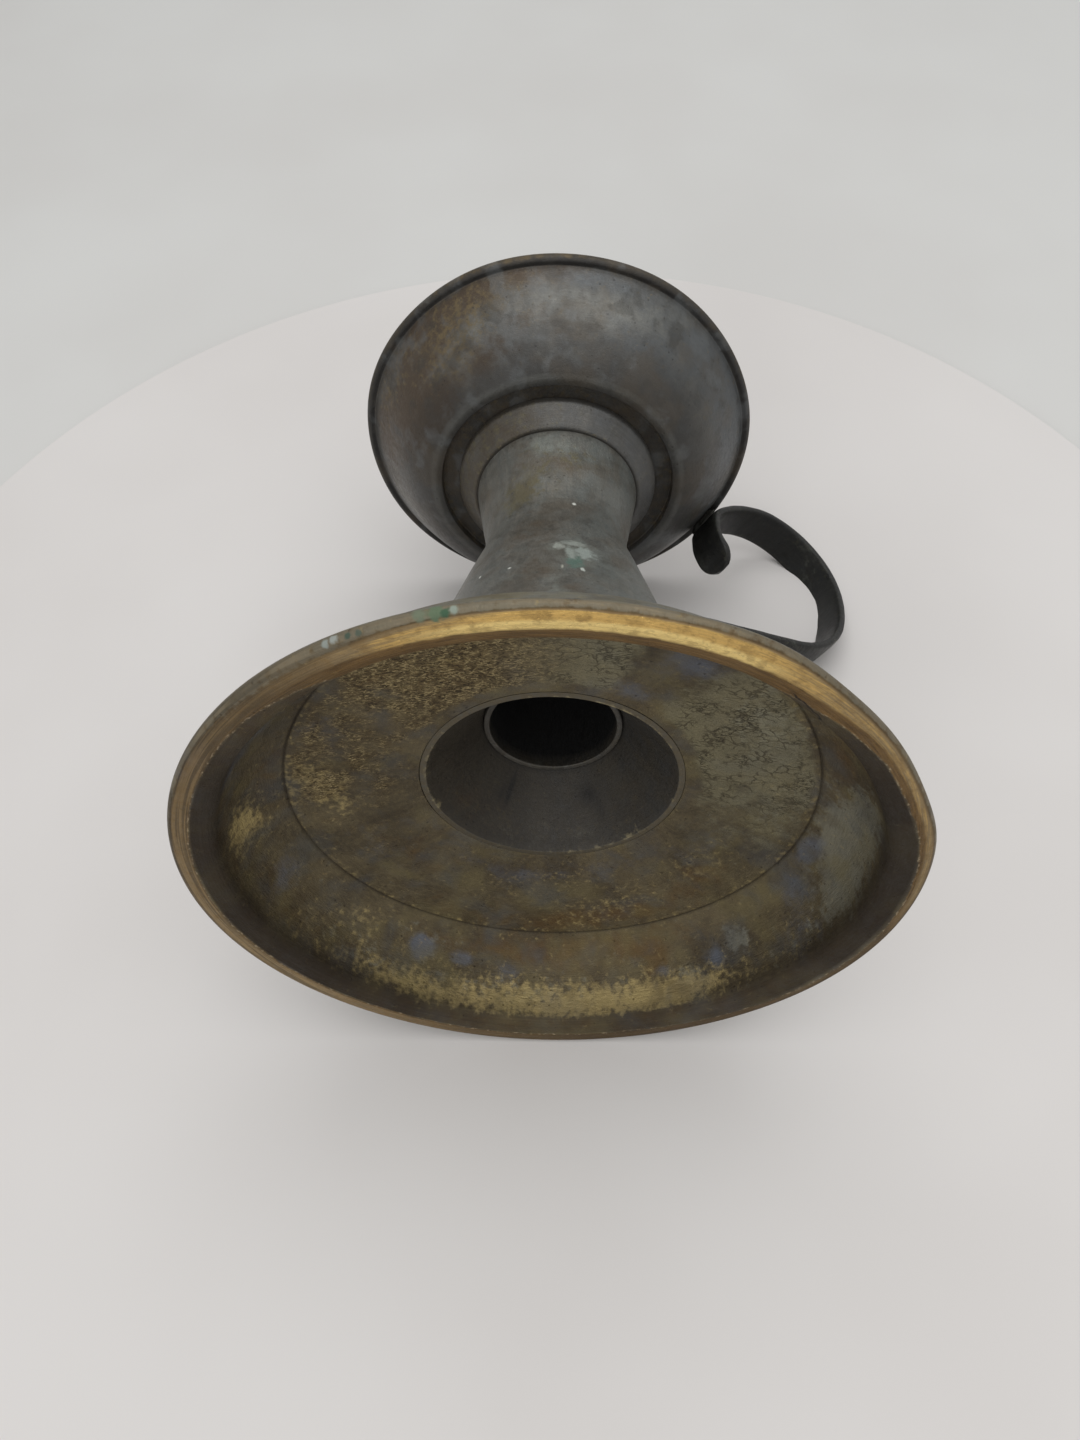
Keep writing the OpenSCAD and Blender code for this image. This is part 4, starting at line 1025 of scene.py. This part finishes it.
def lump(name, centre, half_sizes, tilt):
    """A lump of brazing metal: the place centre + half_sizes (cos v cos u, cos v sin u, sin v)
    times 1 + 0.06 sin(5 u + 3 v) + 0.05 sin(9 v - 4 u), leaned by tilt about Y."""
    u = np.linspace(0, 2 * np.pi, 64, endpoint=False)[None, :]
    v = np.linspace(-np.pi / 2 + 0.02, np.pi / 2 - 0.02, 40)[:, None]
    grow = (1 + 0.06 * np.sin(5 * u + 3 * v) * np.cos(v) + 0.05 * np.sin(9 * v - 4 * u) * np.cos(v))
    x, y, up_z = (half_sizes[0] * np.cos(v) * np.cos(u) * grow,
                  half_sizes[1] * np.cos(v) * np.sin(u) * grow,
                  half_sizes[2] * np.sin(v) * grow + 0 * u)
    lean_x = np.cos(tilt) * x + np.sin(tilt) * up_z
    lean_z = -np.sin(tilt) * x + np.cos(tilt) * up_z
    places = np.stack([centre[0] + lean_x, y, centre[1] + lean_z], -1) * mm
    faces = grid_faces(40, 64, False, True).tolist()
    faces += [list(range(63, -1, -1)), list(range(39 * 64, 40 * 64))]
    piece = built(name, places, faces)
    marked(piece, "film", 0.3 + 0 * x, 0.3 + 0 * x, 0.35 + 0.2 * np.sin(3 * u) + 0 * x, 0.4 + 0 * x)
    marked(piece, "wear_and_shade", 0 * x, 0 * x, 0 * x, 0.25 + 0 * x)
    return piece


braze_metal = old_brass(
    "braze metal", dict(strap_tints, dark=tone(42, 40, 36), light=tone(64, 62, 56)),
    slant=1.0, streaks=(9.0, 140.0), metal=0.4, rough=0.6, relief=0.3,
)
bowl_braze = lump("bowl_braze", (45.3, 126.0), (1.2, 4.5, 1.7), -0.35)
stem_braze = lump("stem_braze", (17.6, 75.8), (2.5, 5.8, 4.3), -0.3)
for piece, node in ((bowl_braze, "handle_braze_bowl"), (stem_braze, "handle_braze_stem")):
    piece.data.materials.append(braze_metal)
    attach(piece, "root")
    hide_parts(node)


# ---------------------------------------------------------------------------
# Turntable and backdrop. The candlestick lies on its side on a white disc, which
# touches the base rim and the rolled rim of the bowl, over a slightly darker sheet.

ground_up = np.array((-0.53905, -0.83007, -0.14287))
disc_centre = np.array((26.9, 47.9, 76.5)) * mm
disc_r, disc_t = 188.8 * mm, 5 * mm
away = np.array((0.0, 0.0, 1.0)) - ground_up * ground_up[2]
away /= np.linalg.norm(away)
across = np.cross(away, ground_up)


def stage_disc(name, centre, outer, edge, depth, around):
    """A round sheet in the ground plane, centre + radius (cos a across + sin a away), with a
    rounded edge of the given size and a side that drops by depth."""
    a = np.linspace(0, 2 * np.pi, around, endpoint=False)[None, :]
    q = np.radians(np.arange(0, 91, 15))
    radii = np.concatenate([[0.0005], np.linspace(0.02, outer - 2 * edge, 24),
                            outer - edge + edge * np.sin(q), [outer]])[:, None]
    drops = np.concatenate([np.zeros(25), edge * (1 - np.cos(q)), [depth]])[:, None]
    places = (centre + (radii * np.cos(a))[..., None] * across
              + (radii * np.sin(a))[..., None] * away - drops[..., None] * ground_up)
    faces = grid_faces(len(radii), around, False, True)[:, ::-1].tolist()
    faces.append(list(range(around)))
    piece = built(name, places, faces)
    return piece


def pale_sheet(name, colour, dusty):
    """A matt pale surface with faint dust. Seen from below it is clear, so that a view from
    the far side of the ground still shows the candlestick."""
    material = bpy.data.materials.new(name)
    material.use_nodes = True
    tree = material.node_tree
    shader = tree.nodes["Principled BSDF"]
    place = add(tree, "TexCoord").outputs["Object"]
    noise = add(tree, "TexNoise", {"Vector": place, "Scale": 9.0, "Detail": 3.0}).outputs[0]
    tint = over(tree, steps(tree, noise, 0.3, 0.7, 0.0, dusty), colour, tone(196, 190, 186))
    tree.links.new(tint, shader.inputs["Base Color"])
    shader.inputs["Roughness"].default_value = 0.75
    shader.inputs["Specular IOR Level"].default_value = 0.2
    clear = add(tree, "BsdfTransparent").outputs[0]
    behind = add(tree, "NewGeometry").outputs["Backfacing"]
    shown = add(tree, "MixShader", {0: behind, 1: shader.outputs[0], 2: clear})
    out = tree.nodes["Material Output"]
    tree.links.new(shown.outputs[0], out.inputs["Surface"])
    return material


disc = stage_disc("disc", disc_centre, disc_r, 0.4 * mm, disc_t, 360)
disc.data.materials.append(pale_sheet("disc white", tone(225, 222, 220), 0.2))
backdrop = stage_disc("backdrop", disc_centre - disc_t * ground_up, 2.6, 0.02, 0.03, 96)
backdrop.data.materials.append(pale_sheet("backdrop grey", tone(218, 218, 216), 0.2))


# ---------------------------------------------------------------------------
# Light. A large soft lamp hangs over the turntable, a weaker one stands behind the
# camera, and a pale world fills the rest.

def soft_lamp(name, place, watts, size):
    """A square lamp at the place, in metres from the disc's centre along across, away and
    up, turned to the candlestick."""
    lamp = bpy.data.lights.new(name, "AREA")
    lamp.energy, lamp.size = watts, size
    holder = bpy.data.objects.new(name, lamp)
    point = disc_centre + place[0] * across + place[1] * away + place[2] * ground_up
    holder.location = point
    aim = np.array((0.0, 0.0, 0.06)) - point
    holder.rotation_euler = Vector(aim).to_track_quat("-Z", "Y").to_euler()
    scene.collection.objects.link(holder)


soft_lamp("top lamp", (0.08, 0.10, 0.90), 4.5, 0.95)
soft_lamp("front lamp", (-0.15, -0.80, 0.55), 1.9, 0.65)

world = bpy.data.worlds.new("pale room")
scene.world = world
world.use_nodes = True
tree = world.node_tree
sky = tree.nodes["Background"]
rays = add(tree, "LightPath").outputs
seen = maths(tree, "MAXIMUM", rays["Is Camera Ray"],
             maths(tree, "MAXIMUM", rays["Is Glossy Ray"], rays["Is Transmission Ray"]))
sky.inputs["Color"].default_value = tone(222, 222, 221)
tree.links.new(steps(tree, seen, 0.0, 1.0, 0.60, 0.87), sky.inputs["Strength"])
